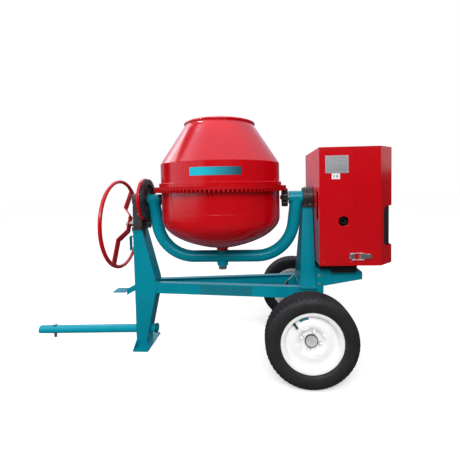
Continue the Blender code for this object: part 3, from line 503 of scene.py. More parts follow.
# near-black for the muffler and its guard: partly their own soot, partly painted shade so the exhaust hole
# and the inside of the hood read dark
SOOTY_SHADE = cast_paint("sooty_shaded_steel", (0.002, 0.002, 0.002), 0.9)
CAST = cast_paint("black_casting", (0.018, 0.018, 0.020))
ZINC = bright_metal("bright_zinc", (0.74, 0.74, 0.73), 0.30, (1, 1, 1))
STEEL = bright_metal("turned_steel", (0.56, 0.55, 0.54), 0.30, (8, 1, 1))
PLATE = bright_metal("brushed_plate", (0.36, 0.37, 0.38), 0.44, (0.6, 12, 14), 0.12)
TYRE = rubber("tyre_rubber", (0.0090, 0.0094, 0.0100))
BELT = rubber("belt_rubber", (0.012, 0.012, 0.012), 0.7)
PLASTIC = plastic("black_plastic", (0.012, 0.012, 0.013))
ALLOY = cast_metal("engine_alloy", (0.52, 0.52, 0.53))
CAP = plastic("dull_cap", (0.46, 0.46, 0.465), 0.45)


# ---- materials on the CAD nodes -------------------------------------------------------------

FINISH = {
    "gear_red": (SHADED_GEAR_RED, ["ring_gear"]),
    "teal": (TEAL, ["axle", "engine_bracket", "far_side_beam", "near_side_beam", "foot_pedal", "front_foot",
                    "front_post", "lock_guide", "rear_cross_member", "rear_post", "tow_bar", "yoke_tube"]),
    "red": (RED, ["drum_bowl", "drum_cone", "drum_shaft", "handwheel_rim", "handwheel_spoke",
                  "hood_front_shell", "hood_rear_shell", "mixing_blade_a", "mixing_blade_b", "brake_disc"]),
    "black": (BLACK, ["drive_pulley", "engine_base", "far_hub", "near_hub", "fuel_tank", "tow_collar"]),
    "casting": (CAST, ["drive_pinion", "front_bearing_bracket", "left_trunnion", "rear_bearing_block",
                       "tilt_gear", "tilt_pinion"]),
    "white": (WHITE, ["near_rim", "far_rim"]),
    "tyre": (TYRE, ["near_tyre", "far_tyre"]),
    "belt": (BELT, ["drive_belt"]),
    "plastic": (PLASTIC, ["vent_guard", "recoil_starter"]),
    # brake rod in black paint instead of zinc: painted shade, so it reads as the dark slot it lies in
    "rod": (BLACK, ["brake_rod"]),
    "zinc": (ZINC, ["drum_nut", "handwheel_nut", "hitch_pin", "hood_hinge_pin", "latch_base",
                    "latch_keeper", "latch_lever", "latch_loop"]),
    "plate": (PLATE, ["data_plate"]),
    "steel": (STEEL, ["engine_pulley", "engine_shaft", "handwheel_shaft", "pinion_shaft"]),
    # muffler in the near-black: its own soot plus painted shade inside the hood
    "soot_and_shade": (SOOTY_SHADE, ["muffler"]),
    "alloy": (ALLOY, ["engine_block"]),
}
for mat, names in FINISH.values():
    for name in names:
        ob = nodes[name]
        for s in range(max(1, len(ob.material_slots))):
            if ob.material_slots:
                ob.material_slots[s].material = mat
            else:
                ob.data.materials.append(mat)

EDGE = {"axle": 2.5, "engine_bracket": 1.5, "far_side_beam": 1.5, "near_side_beam": 1.5, "foot_pedal": 1.2,
        "front_foot": 1.5, "front_post": 2.5, "lock_guide": 1.2, "rear_cross_member": 2.0, "rear_post": 2.5,
        "handwheel_spoke": 1.5, "hood_front_shell": 0.9, "hood_rear_shell": 0.9, "engine_base": 1.5,
        "front_bearing_bracket": 4.0, "rear_bearing_block": 4.0, "data_plate": 0.3, "latch_base": 0.6,
        "latch_lever": 0.8, "latch_keeper": 0.6, "muffler": 4.0, "fuel_tank": 14.0, "engine_block": 5.0,
        "recoil_starter": 3.0, "tilt_gear": 0.7, "tilt_pinion": 0.7, "drive_pinion": 1.0, "ring_gear": 0.8,
        "mixing_blade_a": 1.5, "mixing_blade_b": 1.5, "drum_nut": 1.5, "handwheel_nut": 1.0,
        "vent_guard": 1.0, "brake_rod": 0.8, "tow_collar": 1.5, "hitch_pin": 1.0, "drum_shaft": 1.0}
for name, width in EDGE.items():
    add_bevel(nodes[name], width, 3 if width > 2 else 2)


# ---- drum -----------------------------------------------------------------------------------

def drum_pieces():
    bowl = [(22.4, 743), (60, 743.6), (139, 756), (237, 787), (305, 817), (355, 847), (390, 878), (415, 908),
            (427, 938), (431, 968)]
    outer = spline(bowl[1:], 5)
    wall = [(431, 1000), (431, 1188.5), (432, 1190), (445.4, 1190), (446, 1190.6), (446, 1201.4),
            (445.4, 1202), (427, 1202)]
    inner = [(r - 4 * n[0], z + 4 * n[1]) for (r, z), n in
             ((p, ((p[0] / 470) ** 3, 1 - (p[0] / 470) ** 3)) for p in outer[::-1])]
    section = [(22.4, 743)] + outer + wall + [(427, 1000)] + inner + [(22.4, 747.5)]
    s = Shape().lathe(section, "Z", DRUM_X, 0, 144)
    s.lathe(arc(430.7, 1012, 0.9, 0, 360, 8)[:-1], "Z", DRUM_X, 0, 144)
    piece("drum_bowl_shell", s, RED, "drum", replaces=["drum_bowl"])

    out = [(445.4, 1202.4), (446, 1203), (446, 1214.2), (445.2, 1215), (435, 1215), (432.3, 1216.5),
           (432, 1219), (432, 1348.8)]
    out += [(275, 1593), (268, 1603.5), (262, 1611.5), (257, 1619), (254.2, 1625)]
    out += [(r, z) for r, z in arc(250, 1639.5, 9.6, -62, 205, 16)]
    out += [(247, 1626), (253, 1611), (270.5, 1590), (424.6, 1353), (427, 1340), (427, 1202.4)]
    s = Shape().lathe(out, "Z", DRUM_X, 0, 144)
    # lap seam of the rolled cone, at the back
    seam = []
    for k in range(61):
        t = k / 60
        r, z = 428 + (275 - 428) * t, 1356 + (1594 - 1356) * t
        a = math.radians(118)
        seam.append((DRUM_X + (r + 0.8) * math.cos(a), (r + 0.8) * math.sin(a), z))
    s.weld(seam, 2.2)
    piece("drum_cone_shell", s, RED, "drum", 25, replaces=["drum_cone"])

    s = Shape()
    for k in range(6):
        a = math.radians(-87 + 60 * k)
        spot = (DRUM_X + 438.6 * math.cos(a), 438.6 * math.sin(a), 1215)
        s.bolt(spot, (0, 0, 1), 10, 4.5, 1.0, k * 0.7, 2.5)
    piece("drum_flange_bolts", s, RED, "drum")

    # weld around the bottom boss
    a = [math.radians(5 * i) for i in range(73)]
    ring = [(DRUM_X + 47 * math.cos(t), 47 * math.sin(t), 742.0) for t in a]
    s = Shape().weld(ring, 3.4)
    s.lathe([(37, 716), (39, 717), (49, 738), (54, 742.5), (36, 742.5), (36, 716.6)], "Z", DRUM_X, 0, 96)
    piece("drum_boss_weld", s, RED, "drum")

    # blank foil on the drum wall, with the wall's curve
    r0, r1, half, z0, z1 = 432.15, 432.75, math.radians(21.6), 1257, 1308
    verts, count = [], 48
    for r in (r0, r1):
        for z in (z0, z1):
            for i in range(count + 1):
                t = math.radians(-87.8) - half + 2 * half * i / count
                verts.append((DRUM_X + r * math.cos(t), r * math.sin(t), z))
    foil = label("drum_foil", (0.0, 0.47, 0.62), (0.012, 0.060, 0.085), -0.003, 0.3155)
    piece("drum_label", foil_sheet(verts, count), foil, "drum")


drum_pieces()


# ---- yoke -----------------------------------------------------------------------------------

def yoke_pieces():
    c, sn = math.cos(ARM_LEAN), math.sin(ARM_LEAN)
    start_z = BEND_Z - BEND_R * sn
    pts = []
    for z in (1086, 1040, 990, 945):
        pts.append((BEND_XL - BEND_R * c - (z - start_z) * sn / c, 0, z))
    for u, v in arc(BEND_XL, BEND_Z, BEND_R, 180 + math.degrees(ARM_LEAN), 270, 30):
        pts.append((u, 0, v))
    pts.append((DRUM_X - 60, 0, BEND_Z - BEND_R))
    pts.append((DRUM_X + 60, 0, BEND_Z - BEND_R))
    for u, v in arc(BEND_XR, BEND_Z, BEND_R, 270, 360 - math.degrees(ARM_LEAN), 30):
        pts.append((u, 0, v))
    for z in (945, 990, 1040, 1086):
        pts.append((BEND_XR + BEND_R * c + (z - start_z) * sn / c, 0, z))
    s = Shape().tube(pts, YOKE_R, 40)
    s.lathe(sleeve(25.4, 40, -422, -319, 0.8), "X", 0, TILT_Z, 64)
    s.lathe([(15.4, 642), (46, 642), (47, 643), (47, 739), (46, 740), (30, 740), (30, 807.5), (29, 808.5),
             (15.4, 808.5)], "X", 0, TILT_Z, 64)
    s.lathe(sleeve(22.5, 40, 599, 713, 0.8), "Z", DRUM_X, 0, 64)
    piece("yoke_smooth", s, TEAL, "yoke", replaces=["yoke_tube"])

    # weld beads where the arms meet the end sleeves and around the bottom sleeve
    s = Shape()
    for z0, rr in ((713 - 4.5, 41.5), (BEND_Z - BEND_R - 42.5, 41.5)):
        ring = []
        for i in range(61):
            t = 2 * math.pi * i / 60
            y = rr * math.sin(t)
            lift = math.sqrt(max(0.0, YOKE_R ** 2 - min(abs(y), 44.0) ** 2))
            top = BEND_Z - BEND_R + (lift if z0 > 667 else -lift)
            ring.append((DRUM_X + rr * math.cos(t), y, top))
        s.weld(ring, 3.0)
    for x_side, r in ((-1, 40), (1, 47)):
        for off in (-43.0, 43.0):
            line = []
            mid = (BEND_XL - BEND_R * c - (TILT_Z - r - start_z) * sn / c) if x_side < 0 else \
                (BEND_XR + BEND_R * c + (TILT_Z - r - start_z) * sn / c)
            for i in range(25):
                t = math.radians(-62 + 124 * i / 24)
                y = (r + 0.5) * math.sin(t)
                z = TILT_Z - (r + 0.5) * math.cos(t)
                edge = math.sqrt(max(0.0, YOKE_R ** 2 - y ** 2))
                line.append((mid + math.copysign(edge, off), y, z - 1.5))
            s.weld(line, 2.8)
    piece("yoke_welds", s, TEAL, "yoke")

    s = Shape().lathe([(25.3, -447), (152, -447), (156, -446.4), (159.4, -444.6), (160, -442), (160, -429),
                       (159.4, -426.4), (157, -424.4), (150, -424), (25.3, -424)], "X", 0, TILT_Z, 128)
    piece("brake_disc_turned", s, RED, "yoke", replaces=["brake_disc"])
    # ribs and rim of the cast tilt gear's face
    g = Shape().lathe([(112, -404.2), (118, -403.2), (126, -403.2), (130, -404.2), (130, -405), (112, -405)],
                      "X", 0, TILT_Z, 96)
    g.lathe([(40.6, -419.2), (52, -419.2), (52, -408), (50, -406), (40.6, -406)], "X", 0, TILT_Z, 64)
    for k in range(6):
        m = Matrix.Translation(Vector((0, 0, TILT_Z))) @ Matrix.Rotation(math.radians(60 * k + 30), 4, "X")
        g.box(-419.2, -410, -4, 4, 49, 119, m)
    piece("tilt_gear_web", g, CAST, "yoke", bevel=0.6)

    s = Shape().lathe([(0, -521.2), (10, -521.2), (12, -522.5), (24, -522.5), (25, -521.5), (25, -520),
                       (0, -520)], "X", 0, TILT_Z, 48)
    piece("trunnion_face", s, CAST, "yoke")


yoke_pieces()


# ---- wheels ---------------------------------------------------------------------------------

HUB_GREY = gloss_paint("hub_grey", (0.060, 0.062, 0.066), (0.048, 0.050, 0.054), 0.4, 0.0)


def tyre_shape(side):
    """Radial tyre: tread blocks cut between grooves, shoulder lugs and sidewall rings."""
    n, blocks = 432, 54
    half = spline([(183.2, 60.4), (185, 66), (190, 72.5), (200, 77.5), (216, 80.6), (232, 81.3), (246, 79.6),
                   (256, 75.2), (262.5, 69.5)], 4)
    shoulder = [(266, 66), (268.6, 62), (269.6, 58), (270.2, 54)]
    tread_w = [50, 46, 42, 38, 34.5, 31, 30.2, 26, 25.2, 22, 18, 14, 11, 10.2, 6, 5.2, 2]
    prof = []
    for r, w in half:
        ring = 1.0 * math.exp(-((r - 206) / 1.6) ** 2) + 0.9 * math.exp(-((r - 250) / 1.5) ** 2)
        prof.append((r, w + ring * 0.5, "wall"))
    prof += [(r, w, "shoulder") for r, w in shoulder]
    for w in tread_w:
        crown = 273.0 - 1.3 * (w / 50) ** 2
        kind = "groove" if (26 <= w <= 30.2 or 6 <= w <= 10.2) else "tread"
        prof.append((crown, w, kind))
    prof = prof + [(r, -w, k) for r, w, k in prof[::-1]]
    lining = spline([(168.6, -60.0), (170, -40), (215, -66), (256, -52), (264, -20),
                     (264, 20), (256, 52), (215, 66), (170, 40), (168.6, 60.0)], 2)
    prof += [(r, w, "in") for r, w in lining] + [(183.2, 60.2, "wall")]
    verts, faces = [], []
    for r, w, kind in prof:
        for i in range(n):
            a = 2 * math.pi * i / n
            skew = 0.55 * w / 50
            cut = 0.0
            if kind == "groove":
                cut = 6.5
            elif kind in ("tread", "shoulder"):
                pitch = (i / n * blocks + (skew if abs(w) > 30 else -skew)) % 1.0
                if abs(w) > 30.5 and pitch < 0.24:
                    cut = 5.0
                elif 10.5 < abs(w) < 26 and ((pitch * 1.0 + 0.5) % 1.0) < 0.16:
                    cut = 4.0
            rr = r - cut
            verts.append((WHEEL_X + rr * math.cos(a), side * (WHEEL_Y + w), TYRE_R + rr * math.sin(a)))
    rows = len(prof)
    for k in range(rows):
        for i in range(n):
            j, m = (i + 1) % n, (k + 1) % rows
            faces.append((k * n + i, k * n + j, m * n + j, m * n + i))
    s = Shape().add(verts, faces)
    # short shoulder ribs on the outer wall
    for i in range(72):
        a = 2 * math.pi * (i + 0.5) / 72
        m = (Matrix.Translation(Vector((WHEEL_X, side * WHEEL_Y, TYRE_R))) @ Matrix.Rotation(a, 4, "Y"))
        y0, y1 = sorted((side * 74, side * 78.6))
        s.box(-1.3, 1.3, y0, y1, 251, 260, m)
    return s


def wheel_pieces(tag, side):
    body = tag + "_wheel"
    piece(tag + "_tyre_treaded", tyre_shape(side), TYRE, body, 28, replaces=[tag + "_tyre"])

    def along(profile):
        return [(r, side * (WHEEL_Y + w)) for r, w in profile]

    face = spline([(34, 13.4), (46, 13.4), (60, 13.8), (68, 19), (80, 29.6), (92, 34.2), (104, 34.6),
                   (118, 31.6), (134, 26.4), (143, 24.2)], 4)
    lip = [(146.6, 24.6), (148.4, 27), (151, 33), (156, 45), (160, 54), (164, 60.4), (170, 62.6), (176, 63.6),
           (180.4, 63.8), (182.4, 62.4), (182.6, 60.4), (181, 59.8), (172, 59.6), (167.6, 57), (162, 40),
           (150.6, 26), (150, 10), (150, -38), (160, -52), (167, -59), (174, -60), (182, -60), (182.6, -61),
           (182, -63), (178, -63.8), (170, -63), (163, -60), (147, -40), (146.5, 16), (130, 21.5),
           (104, 29.8), (92, 29.4), (82, 25), (70, 13), (62, 9.2), (34, 9.2)]
    s = Shape().lathe(along(face + lip), "Y", WHEEL_X, TYRE_R, 144)
    turn = math.radians(16)
    for k in range(4):
        t = turn + math.radians(6 + 90 * k)
        m = Matrix.Translation(Vector((WHEEL_X, 0, TYRE_R))) @ Matrix.Rotation(-t, 4, "Y")
        s.lathe([(0, side * (WHEEL_Y + 35.0)), (9, side * (WHEEL_Y + 34.8)), (13, side * (WHEEL_Y + 33.6)),
                 (15.5, side * (WHEEL_Y + 30)), (0, side * (WHEEL_Y + 28))], "Y", 0, 0, 24, False,
                m @ Matrix.Translation(Vector((86, 0, 0))) @ Matrix.Diagonal((1.0, 1.0, 1.5, 1.0)))
    piece(tag + "_rim_pressed", s, WHITE, body, 30, replaces=[tag + "_rim"])

    s = Shape().lathe(along([(15.6, -42), (29, -42), (30, -41), (30, 2), (66, 2), (68, 4), (68, 8.6),
                             (33.0, 8.6), (33.0, 13.8), (38.0, 14.0), (39.0, 15), (39.0, 24), (38, 26),
                             (35.4, 26.8), (34.2, 26), (33.6, 22), (15.6, 22)]), "Y", WHEEL_X, TYRE_R, 72)
    piece(tag + "_hub_turned", s, HUB_GREY, body, replaces=[tag + "_hub"])
    cap = along([(0, 25.4), (22, 25.2), (30, 26.4), (32.6, 26.6), (33.5, 25.8), (33.5, 21), (0, 21)])
    s = Shape().lathe(cap, "Y", WHEEL_X, TYRE_R, 64)
    piece(tag + "_dust_cap", s, CAP, body)

    # grey seat rings under the white nuts: painted shade, a dark outline round the foot of each nut
    s, seats = Shape(), Shape()
    outward = Vector((0, side, 0)).to_track_quat("Z", "Y").to_matrix().to_4x4()
    for k in range(4):
        t = turn + math.radians(-32 + 90 * k)
        spot = (WHEEL_X + 57 * math.cos(t), side * (WHEEL_Y + 13.7), TYRE_R + 57 * math.sin(t))
        seats.lathe([(0, 0), (14.5, 0), (12.5, 3.2), (0, 3.2)], "Z", 0, 0, 28, False,
                    Matrix.Translation(Vector(spot)) @ outward)
        s.bolt((spot[0], spot[1] + side * 3.0, spot[2]), (0, side, 0), 17, 9, 0, k * 0.9, 4.5)
    piece(tag + "_wheel_nuts", s, WHITE, body)
    piece(tag + "_nut_seats", seats, CAP, body)

    # valve stem through the well of the rim
    t = math.radians(134)
    path, radii = [], []
    for r, w, rad in ((150, 26, 8.6), (147, 29, 8.6), (143, 33, 8.2), (138, 38.5, 7.6), (129, 45.5, 7.2),
                      (127, 47.5, 7.6), (121, 52.5, 7.4), (119.5, 53.6, 6.2)):
        path.append((WHEEL_X + r * math.cos(t), side * (WHEEL_Y + w), TYRE_R + r * math.sin(t)))
        radii.append(rad)
    piece(tag + "_valve_stem", Shape().tube(path, radii, 20), PLASTIC, body)

    # blank foil near the edge of the pressed disc
    verts, count = [], 16
    for lift in (0.5, 1.2):
        for r, w in ((130.5, 27.5), (145.0, 24.2)):
            for i in range(count + 1):
                a = math.radians(97 + 23 * i / count)
                u, v = r * math.cos(a), r * math.sin(a)
                verts.append((WHEEL_X + u, side * (WHEEL_Y + w + lift), TYRE_R + v))
    piece(tag + "_rim_foil", foil_sheet(verts, count), RIM_FOIL, body)


RIM_FOIL = label("rim_foil", (0.0, 0.15, 0.20), (0.0, 0.22, 0.30), 0.640, 0.700)
wheel_pieces("near", -1)
wheel_pieces("far", 1)


# ---- handwheel, brackets and tilt drive -----------------------------------------------------

def handwheel_pieces():
    pts = [(HAND_X, y, z) for y, z in arc(0, HAND_Z, HAND_R, 0, 360, 160)[:-1]]
    s = Shape().tube(pts, HAND_BAR_R, 24, True)
    piece("handwheel_ring", s, RED, "handwheel", replaces=["handwheel_rim"])
    s = Shape()
    for at, half in ((208, 6.2), (396.6, 6.2)):
        for face in (-1, 1):
            line = []
            for k in range(9):
                a = math.radians(90 - at - half + half * k / 4 + (0 if at < 300 else 360))
                u, v = HAND_WELD_R * math.cos(a), HAND_WELD_R * math.sin(a)
                line.append((HAND_X + face * 5.4, u, HAND_Z + v))
            s.weld(line, 3.4)
    piece("handwheel_welds", s, RED, "handwheel")
    s = Shape().lathe([(12.6, -570.4), (27, -570.4), (28, -570.8), (28, -572.4), (27, -572.8),
                       (12.6, -572.8)], "X", 0, HAND_Z, 48)
    piece("handwheel_washer", s, ZINC, "handwheel")
    s = Shape()
    for k in range(8):
        ridge = [(r, x + 2.0 * k) for r, x in ((9.5, -590.2), (12.3, -589.7), (12.3, -589.4), (9.5, -588.6))]
        s.lathe(ridge, "X", 0, HAND_Z, 32)
    piece("handwheel_thread", s, STEEL, "handwheel")

    # front bearing bracket: bolts through its base and its face, grease nipple on top
    s = Shape()
    for y in (-61, 61):
        for x in (-500, -468):
            s.bolt((x, y, 899.5), (0, 0, 1), 13, 6, 1.4, 0.4, 3)
    s.bolt((-470, 59.6, 998), (0, 1, 0), 12, 5.5, 1.2, 0.3)
    piece("front_bracket_bolts", s, CAST, "frame")
    s = Shape().bolt((-470, -60.4, 998), (0, -1, 0), 9, 4, 1.0, 0.3)
    piece("front_bracket_screw", s, ZINC, "frame")
    s = Shape().lathe([(r, 1148 + z) for r, z in NIPPLE], "Z", -484, 0, 20, False)
    piece("front_grease_nipple", s, ZINC, "frame")
    s = Shape()
    s.prism([(-46, 901), (-52, 901), (-52, 980), (-50, 1060), (-46, 1060)], "X", -517, -512.5)
    s.prism([(46, 901), (52, 901), (52, 980), (50, 1060), (46, 1060)], "X", -517, -512.5)
    s.lathe([(46.2, -523), (49, -521), (49, -512.6), (46.2, -512.6)], "X", 0, TILT_Z, 48)
    piece("front_bracket_ribs", s, CAST, "frame", bevel=1.2)

    # rear bearing block: base bolts, grease nipple and two bands
    s = Shape()
    for y in (-52, 52):
        s.bolt((788, y, 1047.6), (0, 0, 1), 15, 7, 1.6, 0.2, 4)
    piece("rear_block_bolts", s, ZINC, "frame")
    s = Shape().lathe([(r, 1169 + z) for r, z in NIPPLE], "Z", 757, 0, 20, False)
    piece("rear_grease_nipple", s, ZINC, "frame")
    s = Shape()
    for x in (752, 762):
        s.lathe([(70, x - 2), (71.6, x - 1.4), (71.6, x + 1.4), (70, x + 2)], "X", 0, TILT_Z, 96)
    piece("rear_block_bands", s, CAST, "frame")


handwheel_pieces()


# ---- frame ----------------------------------------------------------------------------------

def frame_pieces():
    bolts = Shape()
    # rail bolts of the hood bracket and the engine base
    for side in (-1, 1):
        for x, z in ((830, 559), (830, 499)):
            bolts.bolt((x, side * 156.2, z), (0, side, 0), 10, 5, 1.4, 0.3 * side, 2)
    for x in (930, 1046):
        for y in (-115, 115):
            bolts.bolt((x, y, 649.8), (0, 0, 1), 13, 5, 1.2, 0.2)
    piece("frame_bolts", bolts, ZINC, "frame", 30)
    bolts = Shape()
    for side in (-1, 1):
        for x in (1002, 935):
            bolts.bolt((x, side * 190.2, 603), (0, side, 0), 9, 4, 1.2, 0.2, 2)
    piece("base_rail_bolts", bolts, BLACK, "frame", 30)

    s = Shape()
    for side in (-1, 1):
        # beam ends on the front post
        y = side * 65.8
        s.weld([(-352, y, 405), (-352.5, y, 485)], 3.0)
        s.weld([(-353, side * 26, 486.5), (-353, side * 64, 486.5)], 3.0)
        # foot plate under the front post
        s.weld([(-512, y, 11.5), (-438, y, 11.5)], 3.4)
        # post corners, ground flush
        s.weld([(-436.5, side * 64.6, 54), (-356, side * 64.6, 420)], 1.5)
        s.weld([(-355.6, side * 64.6, 424), (-357.4, side * 64.6, 508)], 1.5)
        # rear post on the cross member
        s.weld([(700, side * 146.8, 482.2), (803, side * 146.8, 482.2)], 3.2)
        # axle legs
        s.weld([(684, side * 157.6, 303), (739, side * 157.6, 303)], 3.4)
    s.weld([(-437.5, -62, 11.5), (-437.5, 62, 11.5)], 3.4)
    s.weld([(-512, -65.8, 875.4), (-452, -65.8, 875.4)], 2.2)
    s.weld([(-512, 65.8, 875.4), (-452, 65.8, 875.4)], 2.2)
    s.weld([(697.6, -145, 482.4), (697.6, 145, 482.4)], 3.0)
    piece("frame_welds", s, TEAL, "frame")

    # top cap of the front post, a little wider than the post, and the base strap of the rear post
    cheek = [(-517, 862), (-447.2, 862), (-449.0, 870), (-449.0, 876.2), (-517, 876.2)]
    s = Shape().prism(cheek, "Y", -68.5, -65.2).prism(cheek, "Y", 65.2, 68.5)
    s.box(-517, -514.2, -68.5, 68.5, 862, 876.2)
    piece("front_post_cap", s, TEAL, "frame", bevel=0.8)
    s = Shape().box(733.5, 736, -48, 48, 1012, 1030.2)
    for side in (-1, 1):
        y0, y1 = sorted((side * 45.4, side * 48))
        s.box(736, 806, y0, y1, 1012, 1030.2)
    piece("rear_post_cap", s, TEAL, "frame", bevel=0.8)

    # blank foil on the near beam
    slope = (176.0 - 66.0) / (743.0 + 354.0)
    verts = []
    for lift in (0.25, 0.8):
        for x, z in ((-14, 410), (360, 410), (360, 476), (-14, 476)):
            verts.append((x, -(66.0 + slope * (x + 354.0)) - lift, z))
    faces = [(0, 1, 2, 3), (4, 5, 6, 7), (0, 1, 5, 4), (1, 2, 6, 5), (2, 3, 7, 6), (3, 0, 4, 7)]
    foil = label("beam_foil", (0.0, 0.19, 0.255), (0.0, 0.175, 0.235), -0.014, 0.360)
    piece("beam_label", Shape().add(verts, faces), foil, "frame")

    # rings where the tow bar enters and leaves the post
    slope_m = (Matrix.Translation(Vector((-475, 0, TOW_Z))) @ Matrix.Rotation(-TOW_SLOPE, 4, "Y")
               @ Matrix.Translation(Vector((475, 0, -TOW_Z))))
    s = Shape().lathe(sleeve(32, 40, -519, -514.2, 1), "X", 0, TOW_Z, 64)
    s.lathe(sleeve(32, 40, -421, -416, 1), "X", 0, TOW_Z, 64, matrix=slope_m)
    piece("tow_sleeve_rings", s, TEAL, "frame")

    # tow bar in the brighter teal copy: painted light on the top-lit tube
    s = Shape().tube([(-1305.4, 0, TOW_Z), (-370.2, 0, TOW_Z)], TOW_R, 64, matrix=slope_m)
    ob = piece("tow_bar_smooth", s, LIT_TEAL, "tow_bar", replaces=["tow_bar"])
    bore = Shape().tube([(-1320, 0, TOW_Z), (-330, 0, TOW_Z)], TOW_R - 4, 48, matrix=slope_m)
    pin = Shape().tube([(-1190, 0, 40), (-1190, 0, 190)], 10.4, 32, matrix=slope_m)
    boolean(ob, [bore, pin])
    s = Shape().lathe(sleeve(30.6, 36, -385, -375, 1), "X", 0, TOW_Z, 64, matrix=slope_m)
    piece("tow_stop_ring", s, RUST, "tow_bar", replaces=["tow_collar"])

    # split pin through the hitch pin's foot
    ring = [(-1190 + 9 * math.cos(t), 6 * math.sin(t) * 0.3, TOW_Z - 54 + 9 * math.sin(t))
            for t in [2 * math.pi * i / 24 for i in range(24)]]
    s = Shape().tube(ring, 1.2, 10, True, slope_m)
    tail = [(-1181, 0, TOW_Z - 54), (-1172, -4, TOW_Z - 57), (-1166, -9, TOW_Z - 60)]
    s.tube(tail, 1.3, 10, False, slope_m)
    piece("hitch_split_pin", s, ZINC, "hitch_pin")

    # pedal tread strips, in the brighter teal copy: painted light
    s = Shape()
    for k in range(6):
        x = -684 + 14 * k
        s.box(x, x + 4, -40, 40, 410, 411.6)
    piece("pedal_tread", s, LIT_TEAL, "pedal", bevel=0.5)


RUST = cast_metal("oiled_ring", (0.10, 0.055, 0.045), 0.5)
frame_pieces()


# ---- hood -----------------------------------------------------------------------------------

def hood_pieces():
    # shallow lip along the top edge of the front wall
    s = Shape().box(HOOD_X0 + 0.02, HOOD_X0 + 1.0, -HOOD_Y, HOOD_Y, HOOD_Z1 - LIP_DEPTH, HOOD_Z1 - 0.2)
    piece("hood_roof_lip", s, RED, "frame")

    # return flanges round the open bottoms
    s = Shape().box(813.2, 1039, -266.8, -252, 657.2, 659.2).box(813.2, 1039, 252, 266.8, 657.2, 659.2)
    s.box(813.2, 826, -252, -120, 657.2, 659.2).box(813.2, 826, 120, 252, 657.2, 659.2)
    piece("hood_front_flange", s, RED, "frame")
    s = Shape().box(1042, 1199, -266.8, -252, 657.2, 659.2).box(1042, 1199, 252, 266.8, 657.2, 659.2)
    s.box(1288, 1302.6, -172, 172, 657.2, 659.2)
    piece("hood_door_flange", s, RED, "hood_door")

    # overlapping joint strip behind the seam, so the gap shows paint and not daylight; the strip is a darker
    # red than the hood, painted shade in the gap
    s = Shape().box(SEAM_X - 14, SEAM_X + 9, -266.6, -265.2, 660, 1423.6)
    s.box(SEAM_X - 14, SEAM_X + 9, -265.2, 265.2, 1422.2, 1423.6)
    piece("hood_seam_strip", s, SHADOW_RED, "frame")

    # rolled edge round the exhaust hole
    ring = [(963 + 33.4 * math.cos(a), -269.9, 949 + 33.4 * math.sin(a))
            for a in [2 * math.pi * i / 64 for i in range(64)]]
    piece("exhaust_hole_edge", Shape().tube(ring, 1.1, 10, True), RED, "frame")

    # edge roll round the air slot and the shaft hole in the front wall
    slot = [(809.8, y, z) for y, z in rounded(-230, -172, 951, 1144, 3, 4)]
    s = Shape().tube(slot, 1.0, 8, True)
    s.tube([(809.8, 42.4 * math.cos(a), TILT_Z + 42.4 * math.sin(a))
            for a in [2 * math.pi * i / 64 for i in range(64)]], 1.0, 8, True)
    piece("hood_front_edges", s, RED, "frame")

    # plate: raised frame, blank fields and four rivets
    s = Shape()
    for x0, x1, z0, z1 in ((852, 993, 1367, 1369), (852, 993, 1262, 1264), (852, 854, 1264, 1367),
                           (991, 993, 1264, 1367), (852, 993, 1346, 1347), (922, 923, 1264, 1346),
                           (852, 993, 1320, 1320.8), (852, 993, 1293, 1293.8)):
        s.box(x0, x1, -HOOD_Y - 2.0, -HOOD_Y - 1.5, z0, z1)
    piece("plate_fields", s, CAP, "frame")
    s = Shape()
    for x in (856.5, 988.5):
        for z in (1266.5, 1364.5):
            head(s, PLATE_RIVET, (x, -HOOD_Y - 1.6, z), -1)
    piece("plate_rivets", s, ZINC, "frame")
    s = Shape().prism(rounded(890, 942, 1221, 1257, 3), "Y", -HOOD_Y - 0.5, -HOOD_Y - 0.02)
    piece("hood_small_label", s, FOIL_WHITE, "frame")
    out, back = -HOOD_Y - 0.85, -HOOD_Y - 0.5
    s = Shape().lathe([(0, out), (9.5, out), (9.5, back), (0, back)], "Y", 924, 1239, 32, False)
    s.box(899, 907, out, back, 1230, 1248)
    piece("hood_label_marks", s, FOIL_GREY, "frame")

    # hood screws along the front shell's foot and the hinge leaves
    s = Shape()
    for x in (835, 1010):
        for side in (-1, 1):
            head(s, HOOD_SCREW, (x, side * HOOD_Y, 676), side, 24)
    for z in (730, 780, 830, 1250, 1303, 1356):
        head(s, HOOD_RIVET, (SEAM_X - 20, HOOD_Y + 4, z), 1)
    piece("hood_screws", s, RED, "frame")
    s = Shape()
    for z in (900, 1000, 1080, 1180):
        head(s, HOOD_RIVET, (SEAM_X + 20, HOOD_Y + 4, z), 1)
    piece("hood_door_rivets", s, RED, "hood_door")

    # low slats on the guard behind the air outlet
    s = Shape()
    for k in range(13):
        z = 788 + 20 * k
        s.box(1286.8, 1288.4, -172, 172, z, z + 6)
        for side in (-1, 1):
            slat = [(1233, side * 228.6), (1281, side * 186.3),
                    (1282.1, side * 187.5), (1234.1, side * 229.8)]
            s.prism(slat, "Z", z, z + 6)
    piece("guard_slats", s, PLASTIC, "hood_door")

    # rivets on the latch's keeper plate
    s = Shape()
    for x, z in ((1004, 704), (1004, 734), (1030, 704), (1030, 734)):
        head(s, LATCH_RIVET, (x, -HOOD_Y - 3.3, z), -1, 16)
    piece("keeper_rivets", s, ZINC, "frame")


# darker copy of the red enamel: painted shade behind the hood seam
SHADOW_RED = gloss_paint("shadow_red_enamel", (0.20, 0.0008, 0.002), (0.17, 0.0006, 0.0015), 0.5, 0.0)
FOIL_WHITE = plastic("white_foil", (0.82, 0.82, 0.82), 0.35)
FOIL_GREY = plastic("grey_print", (0.36, 0.36, 0.37), 0.4)
hood_pieces()


# ---- engine under the hood ------------------------------------------------------------------

